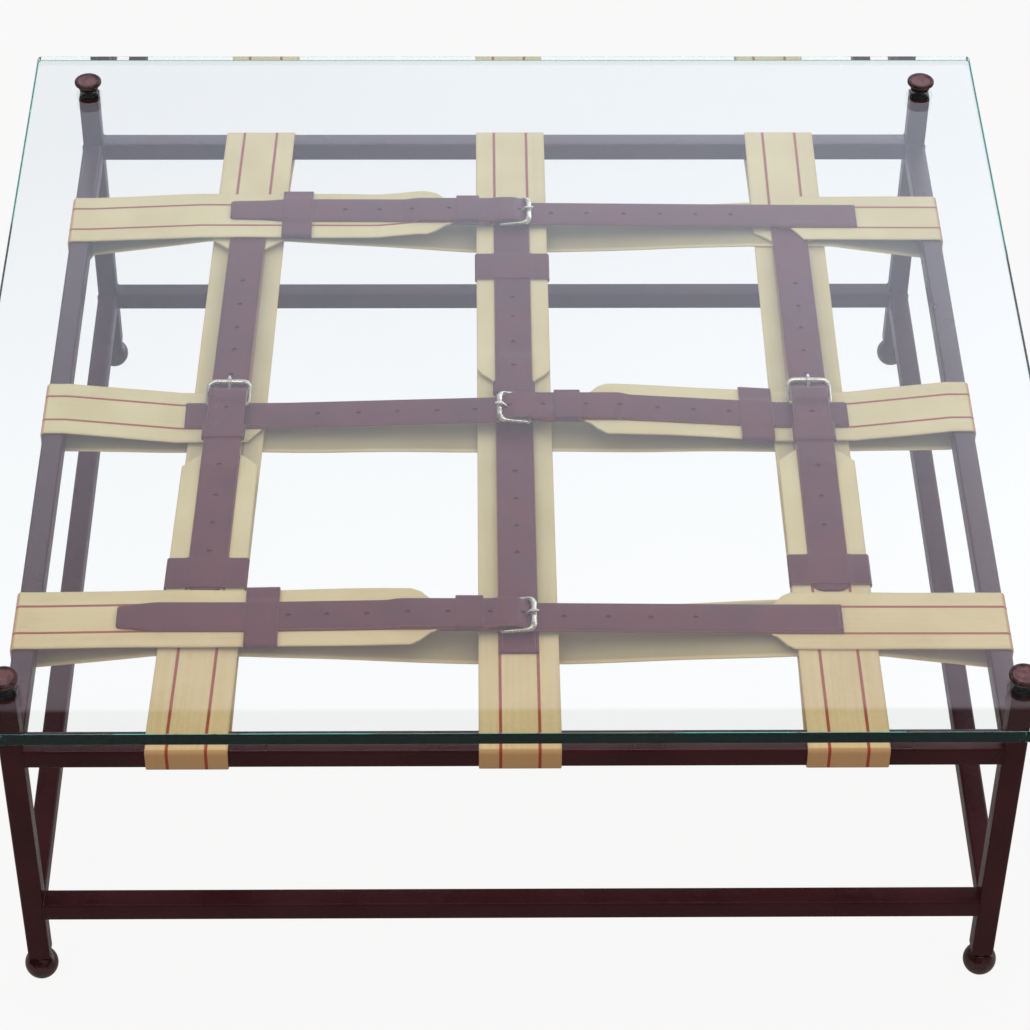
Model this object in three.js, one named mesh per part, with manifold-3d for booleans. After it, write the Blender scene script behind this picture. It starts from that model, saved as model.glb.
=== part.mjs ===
import * as THREE from 'three';
import { mergeVertices } from 'three/addons/utils/BufferGeometryUtils.js';
import Module from 'manifold-3d';

// Low square table: a frame of square steel tube under a glass top.
// Six webbing loops go round the upper rails, each closed by a leather belt with a buckle.
// Millimetres, +Z up, origin on the floor under the middle of the table.

// Clearances
const gap = 0.3;
const crossGap = 1.3;
const overrun = 5;

// Frame of square tube
const legSpacing = 1075;
const tube = 25;
const tubeWall = 1.5;
const tubeCorner = 3;
const cornerSteps = 1;
const legCap = 3;
const lowerRailHeight = 116.5;
const upperRailHeight = 367;

// Ball feet
const footHeight = 37;
const ballDiameter = 38;
const ballCentreHeight = 17.25;
const ballSteps = 7;
const collarDiameter = 22;
const footStudLength = 25;

// Glass top
const glassOverhang = 72;
const glassThickness = 16;
const railToGlass = 86.8;
const glassBevel = 1.2;
const glassHole = 12;

// Knobs and the rubber seats under the glass
const headDiameter = 34.3;
const headThickness = 5.5;
const headBevel = 0.8;
const headRim = 5;
const dishDepth = 0.8;
const neckDiameter = 24.5;
const neckHeight = 7;
const studDiameter = 8;
const knobStudLength = 45;
const seatHeight = 3;
const seatDiameter = 24;
const roundSteps = 20;

// Webbing and leather
const webbingWidth = 88.9;
const webbingThickness = 2.4;
const webbingEndWidth = 41;
const strapWidth = 44;
const strapThickness = 3;
const strapTipWidth = 34;
const strapTipCut = 5;
const holeDiameter = 6;
const holeSteps = 2;
const chapeWidth = 41;
const chapeThickness = 2.4;
const webbingTuck = 14;
const chapeLap = 12;
const strapStep = 14;
const leatherRingThickness = 2;
const ringClearance = 0.4;
const bendRadius = 40;
const bendSteps = 6;
const straightTurn = THREE.MathUtils.degToRad(0.25);

// Buckle frame and prong
const barDiameter = 4.4;
const barSides = 8;
const frameLength = 36;
const frameRise = 4;
const frameInside = 45;
const heelCorner = 4;
const frontCorner = 9;
const heelSteps = 2;
const frontSteps = 3;
const facetSlack = 0.25;
const prongThickness = 2.6;
const prongWidth = 4;
const prongTipWidth = 2.4;
const prongOverhang = 5.5;
const prongHoleLength = 10;
const eyeSteps = 5;
const foldSlack = 0.45;
const foldSteps = 6;
const slotMargin = 1.2;
const frontSlack = 1.3;
const prongBendShares = [0.31, 0.53];
const prongLiftShare = 0.36;

// Glass in its place on the frame
const glassSize = legSpacing + glassOverhang * 2;
const glassUnderside = upperRailHeight + railToGlass;

// Derived heights and reaches of the layers in a belt
const halfSpan = legSpacing / 2;
const railInside = halfSpan - tube / 2;
const wrapRadius = tubeCorner + gap + webbingThickness / 2;
const railLevel = tube / 2 + gap + webbingThickness / 2;
const strapRise = webbingThickness / 2 + gap + strapThickness / 2;
const stackRise = strapRise + strapThickness / 2;
const chapeRise = webbingThickness / 2 + gap + chapeThickness / 2;
const chapeTop = chapeRise + chapeThickness / 2;
const foldRadius = barDiameter / 2 + gap + chapeThickness / 2 + facetSlack;
const foldReach = foldRadius + chapeThickness / 2;
const foldTail = foldReach + foldReach / 2;
const strapOnChape = chapeTop + gap + strapThickness / 2;
const ringTop = strapOnChape + strapThickness / 2 + gap;
const ringReach = ringTop + leatherRingThickness;
const strapOverBar = foldReach + gap + strapThickness / 2 + foldSlack;
const strapUnderFront = frameRise - barDiameter / 2 - gap - strapThickness / 2 - frontSlack;
const layer = webbingThickness + crossGap;

// Levels of the webbing where the loops cross, above the middle of the upper rails
const overLeft = railLevel + stackRise + crossGap + webbingThickness / 2;
const frontOverLeft = railLevel + layer - gap * 2;
const underLeft = overLeft - foldReach - crossGap - stackRise;
const underBackEnd = railLevel - webbingThickness / 2 - crossGap - stackRise;
const columnLevel = railLevel - layer;
const columnBuckle = railLevel + gap * 3;
const middleUnder = railLevel - layer * 4;
const middleOver = railLevel - crossGap;
const centreUnder = middleOver - foldReach - crossGap - ringReach;
const centreBottom = centreUnder - foldReach - crossGap - webbingThickness / 2;
const middleBottom = -railLevel - webbingThickness;
const backThrough = railLevel - webbingThickness - crossGap * 2;
const leftUnderBack = backThrough - webbingThickness - crossGap * 2;
const backThroughRight = underBackEnd - layer;
const frontThrough = columnLevel - layer * 2;
const columnUnderFront = frontThrough - layer - layer / 2;
const columnUnderMiddle = middleUnder - layer * 2;
const backMiddle = -layer * 2;
const frontMiddle = backMiddle - layer / 2;

const lacquer = new THREE.MeshStandardMaterial({ color: '#3c1c20', roughness: 0.25, metalness: 0.1 });
const chrome = new THREE.MeshStandardMaterial({ color: '#b9b9b0', roughness: 0.25, metalness: 1 });
const clearGlass = new THREE.MeshStandardMaterial({
  color: '#dfeee6', roughness: 0.03, metalness: 0, transparent: true, opacity: 0.35,
});
const knobBrown = new THREE.MeshStandardMaterial({ color: '#5a3426', roughness: 0.3, metalness: 0.4 });
const cream = new THREE.MeshStandardMaterial({ color: '#cbb88c', roughness: 0.9, metalness: 0 });
const leather = new THREE.MeshStandardMaterial({ color: '#4a2a2c', roughness: 0.6, metalness: 0 });

const wasm = await Module();
wasm.setup();

function toSolid(geometry) {
  const plain = geometry.clone();
  plain.deleteAttribute('normal');
  plain.deleteAttribute('uv');
  const merged = mergeVertices(plain);
  return new wasm.Manifold(new wasm.Mesh({
    numProp: 3,
    vertProperties: new Float32Array(merged.attributes.position.array),
    triVerts: new Uint32Array(merged.index.array),
  }));
}

function toGeometry(solid) {
  const mesh = solid.getMesh();
  const geometry = new THREE.BufferGeometry();
  const points = new Float32Array(mesh.vertProperties);
  geometry.setAttribute('position', new THREE.BufferAttribute(points, mesh.numProp));
  geometry.setIndex(new THREE.BufferAttribute(new Uint32Array(mesh.triVerts), 1));
  geometry.computeVertexNormals();
  return geometry;
}

// Turns that keep every coordinate exact: the extruded direction becomes X or Y
const xAxis = new THREE.Vector3(1, 0, 0);
const yAxis = new THREE.Vector3(0, 1, 0);
const zAxis = new THREE.Vector3(0, 0, 1);
const alongX = new THREE.Matrix4().makeBasis(yAxis, zAxis, xAxis);
const alongY = new THREE.Matrix4().makeBasis(zAxis, xAxis, yAxis);

function rectangle(outline, left, right, low, high) {
  outline.moveTo(left, low);
  outline.lineTo(right, low);
  outline.lineTo(right, high);
  outline.lineTo(left, high);
  outline.closePath();
  return outline;
}

function roundedSquare(side, radius) {
  const half = side / 2;
  const centre = half - radius;
  const outline = new THREE.Shape();
  outline.moveTo(half, -centre);
  outline.lineTo(half, centre);
  outline.absarc(centre, centre, radius, 0, Math.PI / 2);
  outline.lineTo(-centre, half);
  outline.absarc(-centre, centre, radius, Math.PI / 2, Math.PI);
  outline.lineTo(-half, -centre);
  outline.absarc(-centre, -centre, radius, Math.PI, Math.PI * 3 / 2);
  outline.lineTo(centre, -half);
  outline.absarc(centre, -centre, radius, Math.PI * 3 / 2, Math.PI * 2);
  return outline;
}

function tubeGeometry(length) {
  const outline = roundedSquare(tube, tubeCorner);
  const bore = tube / 2 - tubeWall;
  outline.holes.push(rectangle(new THREE.Path(), -bore, bore, -bore, bore));
  return new THREE.ExtrudeGeometry(outline, {
    depth: length, bevelEnabled: false, curveSegments: cornerSteps,
  });
}

function railGeometry(turn) {
  const geometry = tubeGeometry(railInside * 2);
  geometry.translate(0, 0, -railInside);
  return geometry.applyMatrix4(turn);
}

// A leg: closed square tube with a stud hole in each cap and the round seat of the glass on top
function legGeometry() {
  const top = glassUnderside - gap - seatHeight;
  const bottom = footHeight + gap;
  const post = new THREE.ExtrudeGeometry(roundedSquare(tube, tubeCorner), {
    depth: top - bottom, bevelEnabled: false, curveSegments: cornerSteps,
  });
  post.translate(0, 0, bottom);
  const bore = tube - tubeWall * 2;
  const hollow = new THREE.BoxGeometry(bore, bore, top - bottom - legCap * 2);
  hollow.translate(0, 0, (top + bottom) / 2);
  const sunk = legCap / 2;
  const seat = new THREE.CylinderGeometry(seatDiameter / 2, seatDiameter / 2, seatHeight + sunk, roundSteps);
  seat.rotateX(Math.PI / 2);
  seat.translate(0, 0, top + (seatHeight - sunk) / 2);
  const drillRadius = studDiameter / 2 + gap;
  const drill = new THREE.CylinderGeometry(drillRadius, drillRadius, top - bottom + overrun * 2, roundSteps);
  drill.rotateX(Math.PI / 2);
  drill.translate(0, 0, (top + bottom) / 2);
  return toGeometry(toSolid(post).add(toSolid(seat)).subtract(toSolid(hollow)).subtract(toSolid(drill)));
}

function lathe(profile) {
  const points = profile.map(([radius, height]) => new THREE.Vector2(radius, height));
  const geometry = new THREE.LatheGeometry(points, roundSteps);
  geometry.rotateX(Math.PI / 2);
  return geometry;
}

// A foot: a ball flattened on the floor, a collar and the stud that goes up into the leg
function footGeometry() {
  const radius = ballDiameter / 2;
  const collar = collarDiameter / 2;
  const stud = studDiameter / 2;
  const lowest = Math.asin(-ballCentreHeight / radius);
  const highest = Math.acos(collar / radius);
  const profile = [[0, 0]];
  for (let step = 0; step <= ballSteps; step += 1) {
    const angle = lowest + (highest - lowest) * step / ballSteps;
    profile.push([radius * Math.cos(angle), step ? ballCentreHeight + radius * Math.sin(angle) : 0]);
  }
  profile.push([collar, footHeight]);
  profile.push([stud, footHeight]);
  profile.push([stud, footHeight + footStudLength]);
  profile.push([0, footHeight + footStudLength]);
  return lathe(profile);
}

// A knob: dished head, neck and stud, measured up from the top face of the glass
function knobGeometry() {
  const head = headDiameter / 2;
  const neck = neckDiameter / 2;
  const stud = studDiameter / 2;
  const underHead = gap + neckHeight;
  const top = underHead + headThickness;
  return lathe([
    [0, -knobStudLength],
    [stud, -knobStudLength],
    [stud, gap],
    [neck, gap],
    [neck, underHead],
    [head - headBevel, underHead],
    [head, underHead + headBevel],
    [head, top - headBevel],
    [head - headBevel, top],
    [head - headRim, top],
    [head - headRim - headBevel, top - dishDepth],
    [0, top - dishDepth],
  ]);
}

function glassGeometry() {
  const half = glassSize / 2;
  const outline = rectangle(new THREE.Shape(), -half, half, -half, half);
  for (const x of [-halfSpan, halfSpan]) {
    for (const y of [-halfSpan, halfSpan]) {
      const hole = new THREE.Path();
      hole.absarc(x, y, glassHole / 2, 0, Math.PI * 2);
      outline.holes.push(hole);
    }
  }
  const geometry = new THREE.ExtrudeGeometry(outline, {
    depth: glassThickness - glassBevel * 2,
    bevelThickness: glassBevel,
    bevelSize: glassBevel,
    bevelOffset: -glassBevel,
    bevelSegments: 1,
    curveSegments: roundSteps / 2,
  });
  geometry.translate(0, 0, glassUnderside + glassBevel);
  return geometry;
}

// Height of a run of belt at a place along it, from a list of [place, level] knots
function levelAt(knots, place) {
  const sorted = [...knots].sort((a, b) => a[0] - b[0]);
  const next = sorted.findIndex(([knot]) => knot >= place);
  if (next <= 0) {
    return next === 0 ? sorted[0][1] : sorted[sorted.length - 1][1];
  }
  const [left, low] = sorted[next - 1];
  const [right, high] = sorted[next];
  return low + (high - low) * (place - left) / (right - left);
}

// Rounds the corners of a path; each corner is { u, z, half, radius }
function roundedPath(corners) {
  const path = [corners[0]];
  for (let index = 1; index < corners.length - 1; index += 1) {
    const corner = corners[index];
    const here = new THREE.Vector2(corner.u, corner.z);
    const back = new THREE.Vector2(corners[index - 1].u, corners[index - 1].z).sub(here);
    const ahead = new THREE.Vector2(corners[index + 1].u, corners[index + 1].z).sub(here);
    const room = Math.min(back.length(), ahead.length()) / 2;
    back.normalize();
    ahead.normalize();
    const turn = Math.PI - Math.acos(THREE.MathUtils.clamp(back.dot(ahead), -1, 1));
    const cut = Math.min(corner.radius * Math.tan(turn / 2), room);
    if (!corner.radius || turn < straightTurn) {
      path.push(corner);
      continue;
    }
    const start = here.clone().addScaledVector(back, cut);
    const end = here.clone().addScaledVector(ahead, cut);
    const steps = Math.max(2, Math.ceil(turn * bendSteps / Math.PI));
    const curve = cut / Math.tan(turn / 2);
    const inward = back.clone().add(ahead).normalize();
    const centre = here.clone().addScaledVector(inward, Math.hypot(cut, curve));
    const first = Math.atan2(start.y - centre.y, start.x - centre.x);
    const side = Math.sign(ahead.x * back.y - ahead.y * back.x);
    for (let step = 0; step <= steps; step += 1) {
      const angle = first + side * turn * step / steps;
      path.push({
        u: step === steps ? end.x : centre.x + curve * Math.cos(angle),
        z: step === steps ? end.y : centre.y + curve * Math.sin(angle),
        half: corner.half,
      });
    }
  }
  path.push(corners[corners.length - 1]);
  return path;
}

// A flat band of one thickness along a path, with its own half width at each point
function bandGeometry(path, thickness) {
  const points = [];
  const faces = [];
  for (let index = 0; index < path.length; index += 1) {
    const here = path[index];
    const back = path[Math.max(index - 1, 0)];
    const ahead = path[Math.min(index + 1, path.length - 1)];
    const before = new THREE.Vector2(here.u - back.u, here.z - back.z).normalize();
    const after = new THREE.Vector2(ahead.u - here.u, ahead.z - here.z).normalize();
    const along = before.clone().add(after).normalize();
    const spread = 1 / along.dot(index ? before : after);
    const du = -along.y * spread * thickness / 2;
    const dz = along.x * spread * thickness / 2;
    points.push(here.u + du, -here.half, here.z + dz);
    points.push(here.u + du, here.half, here.z + dz);
    points.push(here.u - du, here.half, here.z - dz);
    points.push(here.u - du, -here.half, here.z - dz);
  }
  const last = (path.length - 1) * 4;
  for (let base = 0; base < last; base += 4) {
    for (let side = 0; side < 4; side += 1) {
      const near = base + side;
      const turned = base + (side + 1) % 4;
      faces.push(near, near + 4, turned + 4, near, turned + 4, turned);
    }
  }
  faces.push(0, 1, 2, 0, 2, 3, last, last + 3, last + 2, last, last + 2, last + 1);
  const geometry = new THREE.BufferGeometry();
  geometry.setAttribute('position', new THREE.Float32BufferAttribute(points, 3));
  geometry.setIndex(faces);
  geometry.computeVertexNormals();
  return geometry;
}

// The knots of a loop's top and bottom run, with the flat stretch at the buckle
function topKnots(loop) {
  const places = loop.topShares.map((share) => share * halfSpan);
  const far = places.map((place, index) => [place, loop.topLevels[index]]);
  const chapeEnd = chapeEndOf(loop);
  const end = loop.narrowShare * halfSpan - webbingTuck;
  return {
    free: [[-railInside, railLevel], ...far.filter(([place]) => place < 0), [chapeEnd, loop.barLevel],
      [loop.barShare * halfSpan - webbingTuck, loop.barLevel]],
    sewn: [[end, loop.sewnLevel], ...far.filter(([place]) => place > 0), [railInside, railLevel]],
  };
}

function chapeEndOf(loop) {
  return loop.freeFullShare * halfSpan - chapeLap;
}

// Webbing of a loop: from its sewn end over one rail, back underneath and over the other rail
function webbingGeometry(loop) {
  const { free, sewn } = topKnots(loop);
  const full = webbingWidth / 2;
  const endHalf = webbingEndWidth / 2;
  const outside = halfSpan + railLevel;
  const plain = ([u, z]) => ({ u, z, half: full, radius: bendRadius });
  const taper = (knots, share, half) => {
    const u = share * halfSpan;
    return { u, z: levelAt(knots, u), half, radius: 0 };
  };
  const freeEnd = free[free.length - 1];
  const corners = [
    { u: sewn[0][0], z: sewn[0][1], half: endHalf, radius: 0 },
    taper(sewn, loop.narrowShare, endHalf),
    taper(sewn, loop.fullShare, full),
    ...sewn.slice(1).map(plain),
    { u: outside, z: railLevel, half: full, radius: wrapRadius },
    { u: outside, z: -railLevel, half: full, radius: wrapRadius },
    { u: railInside, z: -railLevel, half: full, radius: bendRadius },
    ...loop.bottomShares.map((share, index) => plain([share * halfSpan, loop.bottomLevels[index]])).reverse(),
    { u: -railInside, z: -railLevel, half: full, radius: bendRadius },
    { u: -outside, z: -railLevel, half: full, radius: wrapRadius },
    { u: -outside, z: railLevel, half: full, radius: wrapRadius },
    ...free.slice(0, -2).map(plain),
    plain(free[free.length - 2]),
    taper(free, loop.freeFullShare, full),
    taper(free, loop.freeNarrowShare, endHalf),
    { u: freeEnd[0], z: freeEnd[1], half: endHalf, radius: 0 },
  ];
  return bandGeometry(roundedPath(corners), webbingThickness);
}

// Middle line of the tongue, from its butt over the sewn webbing, through the buckle and along to its tip
function strapCorners(loop) {
  const { free, sewn } = topKnots(loop);
  const half = strapWidth / 2;
  const butt = loop.buttShare * halfSpan;
  const sewnEnd = sewn[0][0] - strapThickness;
  const bar = loop.barShare * halfSpan;
  const chapeEnd = chapeEndOf(loop);
  const tip = loop.tipShare * halfSpan;
  const stepEnd = chapeEnd - strapStep;
  const raised = (knots, u) => ({ u, z: levelAt(knots, u) + strapRise, half, radius: bendRadius });
  const tipHalf = strapTipWidth / 2;
  const underButt = sewn.slice(1).filter(([place]) => place < butt - strapThickness);
  return [
    { ...raised(sewn, butt), radius: 0 },
    ...underButt.map(([place]) => raised(sewn, place)).reverse(),
    raised(sewn, sewnEnd),
    { u: bar + frameLength - gap * 3, z: loop.barLevel + strapUnderFront, half, radius: bendRadius / 2 },
    { u: bar, z: loop.barLevel + strapOverBar, half, radius: bendRadius / 4 },
    { u: bar - foldReach * 2, z: loop.barLevel + strapOnChape, half, radius: bendRadius },
    { u: chapeEnd - strapThickness, z: loop.barLevel + strapOnChape, half, radius: bendRadius },
    raised(free, stepEnd),
    ...free.slice(1, -2).filter(([place]) => place < stepEnd && place > tip + strapTipCut)
      .map(([place]) => raised(free, place)).reverse(),
    { ...raised(free, tip + strapTipCut), radius: 0 },
    { ...raised(free, tip), half: tipHalf, radius: 0 },
  ];
}

function punch(u, z, length, width) {
  const straight = (length - width) / 2;
  const round = width / 2;
  const outline = new THREE.Shape();
  outline.moveTo(-straight, -round);
  if (straight) {
    outline.lineTo(straight, -round);
  }
  outline.absarc(straight, 0, round, -Math.PI / 2, Math.PI / 2);
  if (straight) {
    outline.lineTo(-straight, round);
  }
  outline.absarc(-straight, 0, round, Math.PI / 2, Math.PI * 3 / 2);
  const deep = strapThickness + overrun;
  const pin = new THREE.ExtrudeGeometry(outline, {
    depth: deep, bevelEnabled: false, curveSegments: holeSteps,
  });
  pin.translate(u, 0, z - deep / 2);
  return toSolid(pin);
}

function strapGeometry(loop) {
  const path = roundedPath(strapCorners(loop));
  const knots = path.map(({ u, z }) => [u, z]);
  let strap = toSolid(bandGeometry([...path].reverse(), strapThickness));
  for (const share of loop.holeShares) {
    const u = share * halfSpan;
    strap = strap.subtract(punch(u, levelAt(knots, u), holeDiameter, holeDiameter));
  }
  const prongHole = loop.barShare * halfSpan + prongCrossing.u;
  strap = strap.subtract(punch(prongHole, levelAt(knots, prongHole), prongHoleLength, holeDiameter));
  return toGeometry(strap);
}

// Where the prong comes up through the tongue, measured from the heel bar
const strapSlope = (strapUnderFront - strapOverBar) / (frameLength - gap * 3);
const strapSkin = strapThickness / 2 + gap + prongThickness / 2;
const [lowShare, highShare] = prongBendShares;
const prongLow = { u: frameLength * lowShare, z: barDiameter * prongLiftShare };
const prongHigh = { u: frameLength * highShare };
prongHigh.z = strapOverBar + strapSlope * prongHigh.u + strapSkin;
const prongRest = frameRise + barDiameter / 2 + gap + prongThickness / 2;
const prongSlope = (prongHigh.z - prongLow.z) / (prongHigh.u - prongLow.u);
const prongCrossing = {
  u: (strapOverBar - prongLow.z + prongSlope * prongLow.u) / (prongSlope - strapSlope),
};

// A closed leather ring round a belt, as wide as its opening needs, centred on a place along the belt
function ringGeometry(inside, low, high, thickness, length, lowThickness) {
  const outline = rectangle(new THREE.Shape(), -inside - thickness, inside + thickness,
    low - lowThickness, high + thickness);
  outline.holes.push(rectangle(new THREE.Path(), -inside, inside, low, high));
  const geometry = new THREE.ExtrudeGeometry(outline, { depth: length, bevelEnabled: false });
  geometry.translate(0, 0, -length / 2);
  return geometry.applyMatrix4(alongX);
}

// The chape: a leather fold round the heel bar, slotted for the prong, with the fixed keeper sewn in
function chapeGeometry(loop) {
  const bar = loop.barShare * halfSpan;
  const half = chapeWidth / 2;
  const end = chapeEndOf(loop);
  const path = [
    { u: end, z: loop.barLevel - chapeRise, half },
    { u: bar - foldTail, z: loop.barLevel - chapeRise, half },
  ];
  for (let step = 0; step <= foldSteps; step += 1) {
    const angle = Math.PI * (step / foldSteps - 1 / 2);
    const across = foldRadius * Math.cos(angle);
    path.push({ u: bar + across, z: loop.barLevel + foldRadius * Math.sin(angle), half });
  }
  path.push({ u: bar - foldTail, z: loop.barLevel + chapeRise, half });
  path.push({ u: end, z: loop.barLevel + chapeRise, half });
  const slotReach = foldTail * 2;
  const slot = new THREE.BoxGeometry(slotReach, prongWidth + slotMargin, slotReach);
  slot.translate(bar, 0, loop.barLevel);
  const [near, far] = loop.keeperShares.map((share) => share * halfSpan);
  const skin = chapeThickness - gap;
  const ring = ringGeometry(strapWidth / 2 + ringClearance, chapeTop - gap / 2, ringTop, leatherRingThickness,
    near - far, skin - gap / 2);
  ring.translate((near + far) / 2, 0, loop.barLevel);
  return toGeometry(toSolid(bandGeometry(path, chapeThickness)).subtract(toSolid(slot)).add(toSolid(ring)));
}

// Buckle frame: one round bar bent to a closed loop, wider corners at its front
function buckleGeometry(loop) {
  const side = frameInside / 2 + barDiameter / 2;
  const centreLine = [];
  const corner = (u, v, radius, from, steps) => {
    for (let step = 0; step <= steps; step += 1) {
      const angle = from + Math.PI / 2 * step / steps;
      centreLine.push(new THREE.Vector3(u + radius * Math.cos(angle), v + radius * Math.sin(angle), 0));
    }
  };
  corner(frameLength - frontCorner, side - frontCorner, frontCorner, 0, frontSteps);
  corner(heelCorner, side - heelCorner, heelCorner, Math.PI / 2, heelSteps);
  corner(heelCorner, heelCorner - side, heelCorner, Math.PI, heelSteps);
  corner(frameLength - frontCorner, frontCorner - side, frontCorner, Math.PI * 3 / 2, frontSteps);
  const points = [];
  const faces = [];
  const count = centreLine.length;
  centreLine.forEach((here, index) => {
    const back = here.clone().sub(centreLine[(index + count - 1) % count]).normalize();
    const ahead = centreLine[(index + 1) % count].clone().sub(here).normalize();
    const along = back.clone().add(ahead).normalize();
    const spread = 1 / along.dot(back);
    const out = new THREE.Vector3().crossVectors(along, zAxis);
    for (let step = 0; step < barSides; step += 1) {
      const angle = Math.PI * 2 * (step + 1 / 2) / barSides;
      const reach = barDiameter / 2;
      const point = here.clone().addScaledVector(out, Math.cos(angle) * reach * spread);
      points.push(point.x, point.y, Math.sin(angle) * reach);
      const next = (step + 1) % barSides;
      const ring = index * barSides;
      const nextRing = (index + 1) % count * barSides;
      faces.push(ring + step, nextRing + step, nextRing + next, ring + step, nextRing + next, ring + next);
    }
  });
  const geometry = new THREE.BufferGeometry();
  geometry.setAttribute('position', new THREE.Float32BufferAttribute(points, 3));
  geometry.setIndex(faces);
  geometry.rotateY(-Math.atan2(frameRise, frameLength));
  geometry.translate(loop.barShare * halfSpan, 0, loop.barLevel);
  geometry.computeVertexNormals();
  return geometry;
}

// Prong: an eye round the heel bar and a shank that comes up through the tongue onto the front bar
function prongGeometry(loop) {
  const bore = barDiameter / 2 + gap + gap / 2;
  const eyeOutline = new THREE.Shape();
  eyeOutline.absarc(0, 0, bore + prongThickness / 2, 0, Math.PI * 2);
  const hole = new THREE.Path();
  hole.absarc(0, 0, bore, 0, Math.PI * 2);
  eyeOutline.holes.push(hole);
  const eye = new THREE.ExtrudeGeometry(eyeOutline, {
    depth: prongWidth, bevelEnabled: false, curveSegments: eyeSteps,
  });
  eye.translate(0, 0, -prongWidth / 2);
  eye.rotateX(Math.PI / 2);
  const half = prongWidth / 2;
  const rest = { u: frameLength, z: prongRest, half, radius: bendRadius };
  const shank = bandGeometry(roundedPath([
    { u: bore + prongThickness / 4, z: prongLow.z, half, radius: 0 },
    { ...prongLow, half, radius: prongThickness },
    { ...prongHigh, half, radius: prongThickness },
    rest,
    { u: frameLength + prongOverhang, z: prongRest - prongThickness / 4, half: prongTipWidth / 2, radius: 0 },
  ]), prongThickness);
  const geometry = toGeometry(toSolid(eye).add(toSolid(shank)));
  geometry.translate(loop.barShare * halfSpan, 0, loop.barLevel);
  return geometry;
}

// Wide loose keeper round the webbing and the tongue, lying along the slope of the belt
function keeperGeometry(loop) {
  const { free } = topKnots(loop);
  const [far, near] = loop.wideKeeperShares.map((share) => share * halfSpan);
  const slope = Math.atan2(levelAt(free, near) - levelAt(free, far), near - far);
  const geometry = ringGeometry(webbingWidth / 2 + ringClearance, -webbingThickness / 2 - gap, stackRise + gap,
    leatherRingThickness, near - far, leatherRingThickness);
  geometry.rotateY(-slope);
  geometry.translate((near + far) / 2, 0, levelAt(free, (near + far) / 2));
  return geometry;
}

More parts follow.
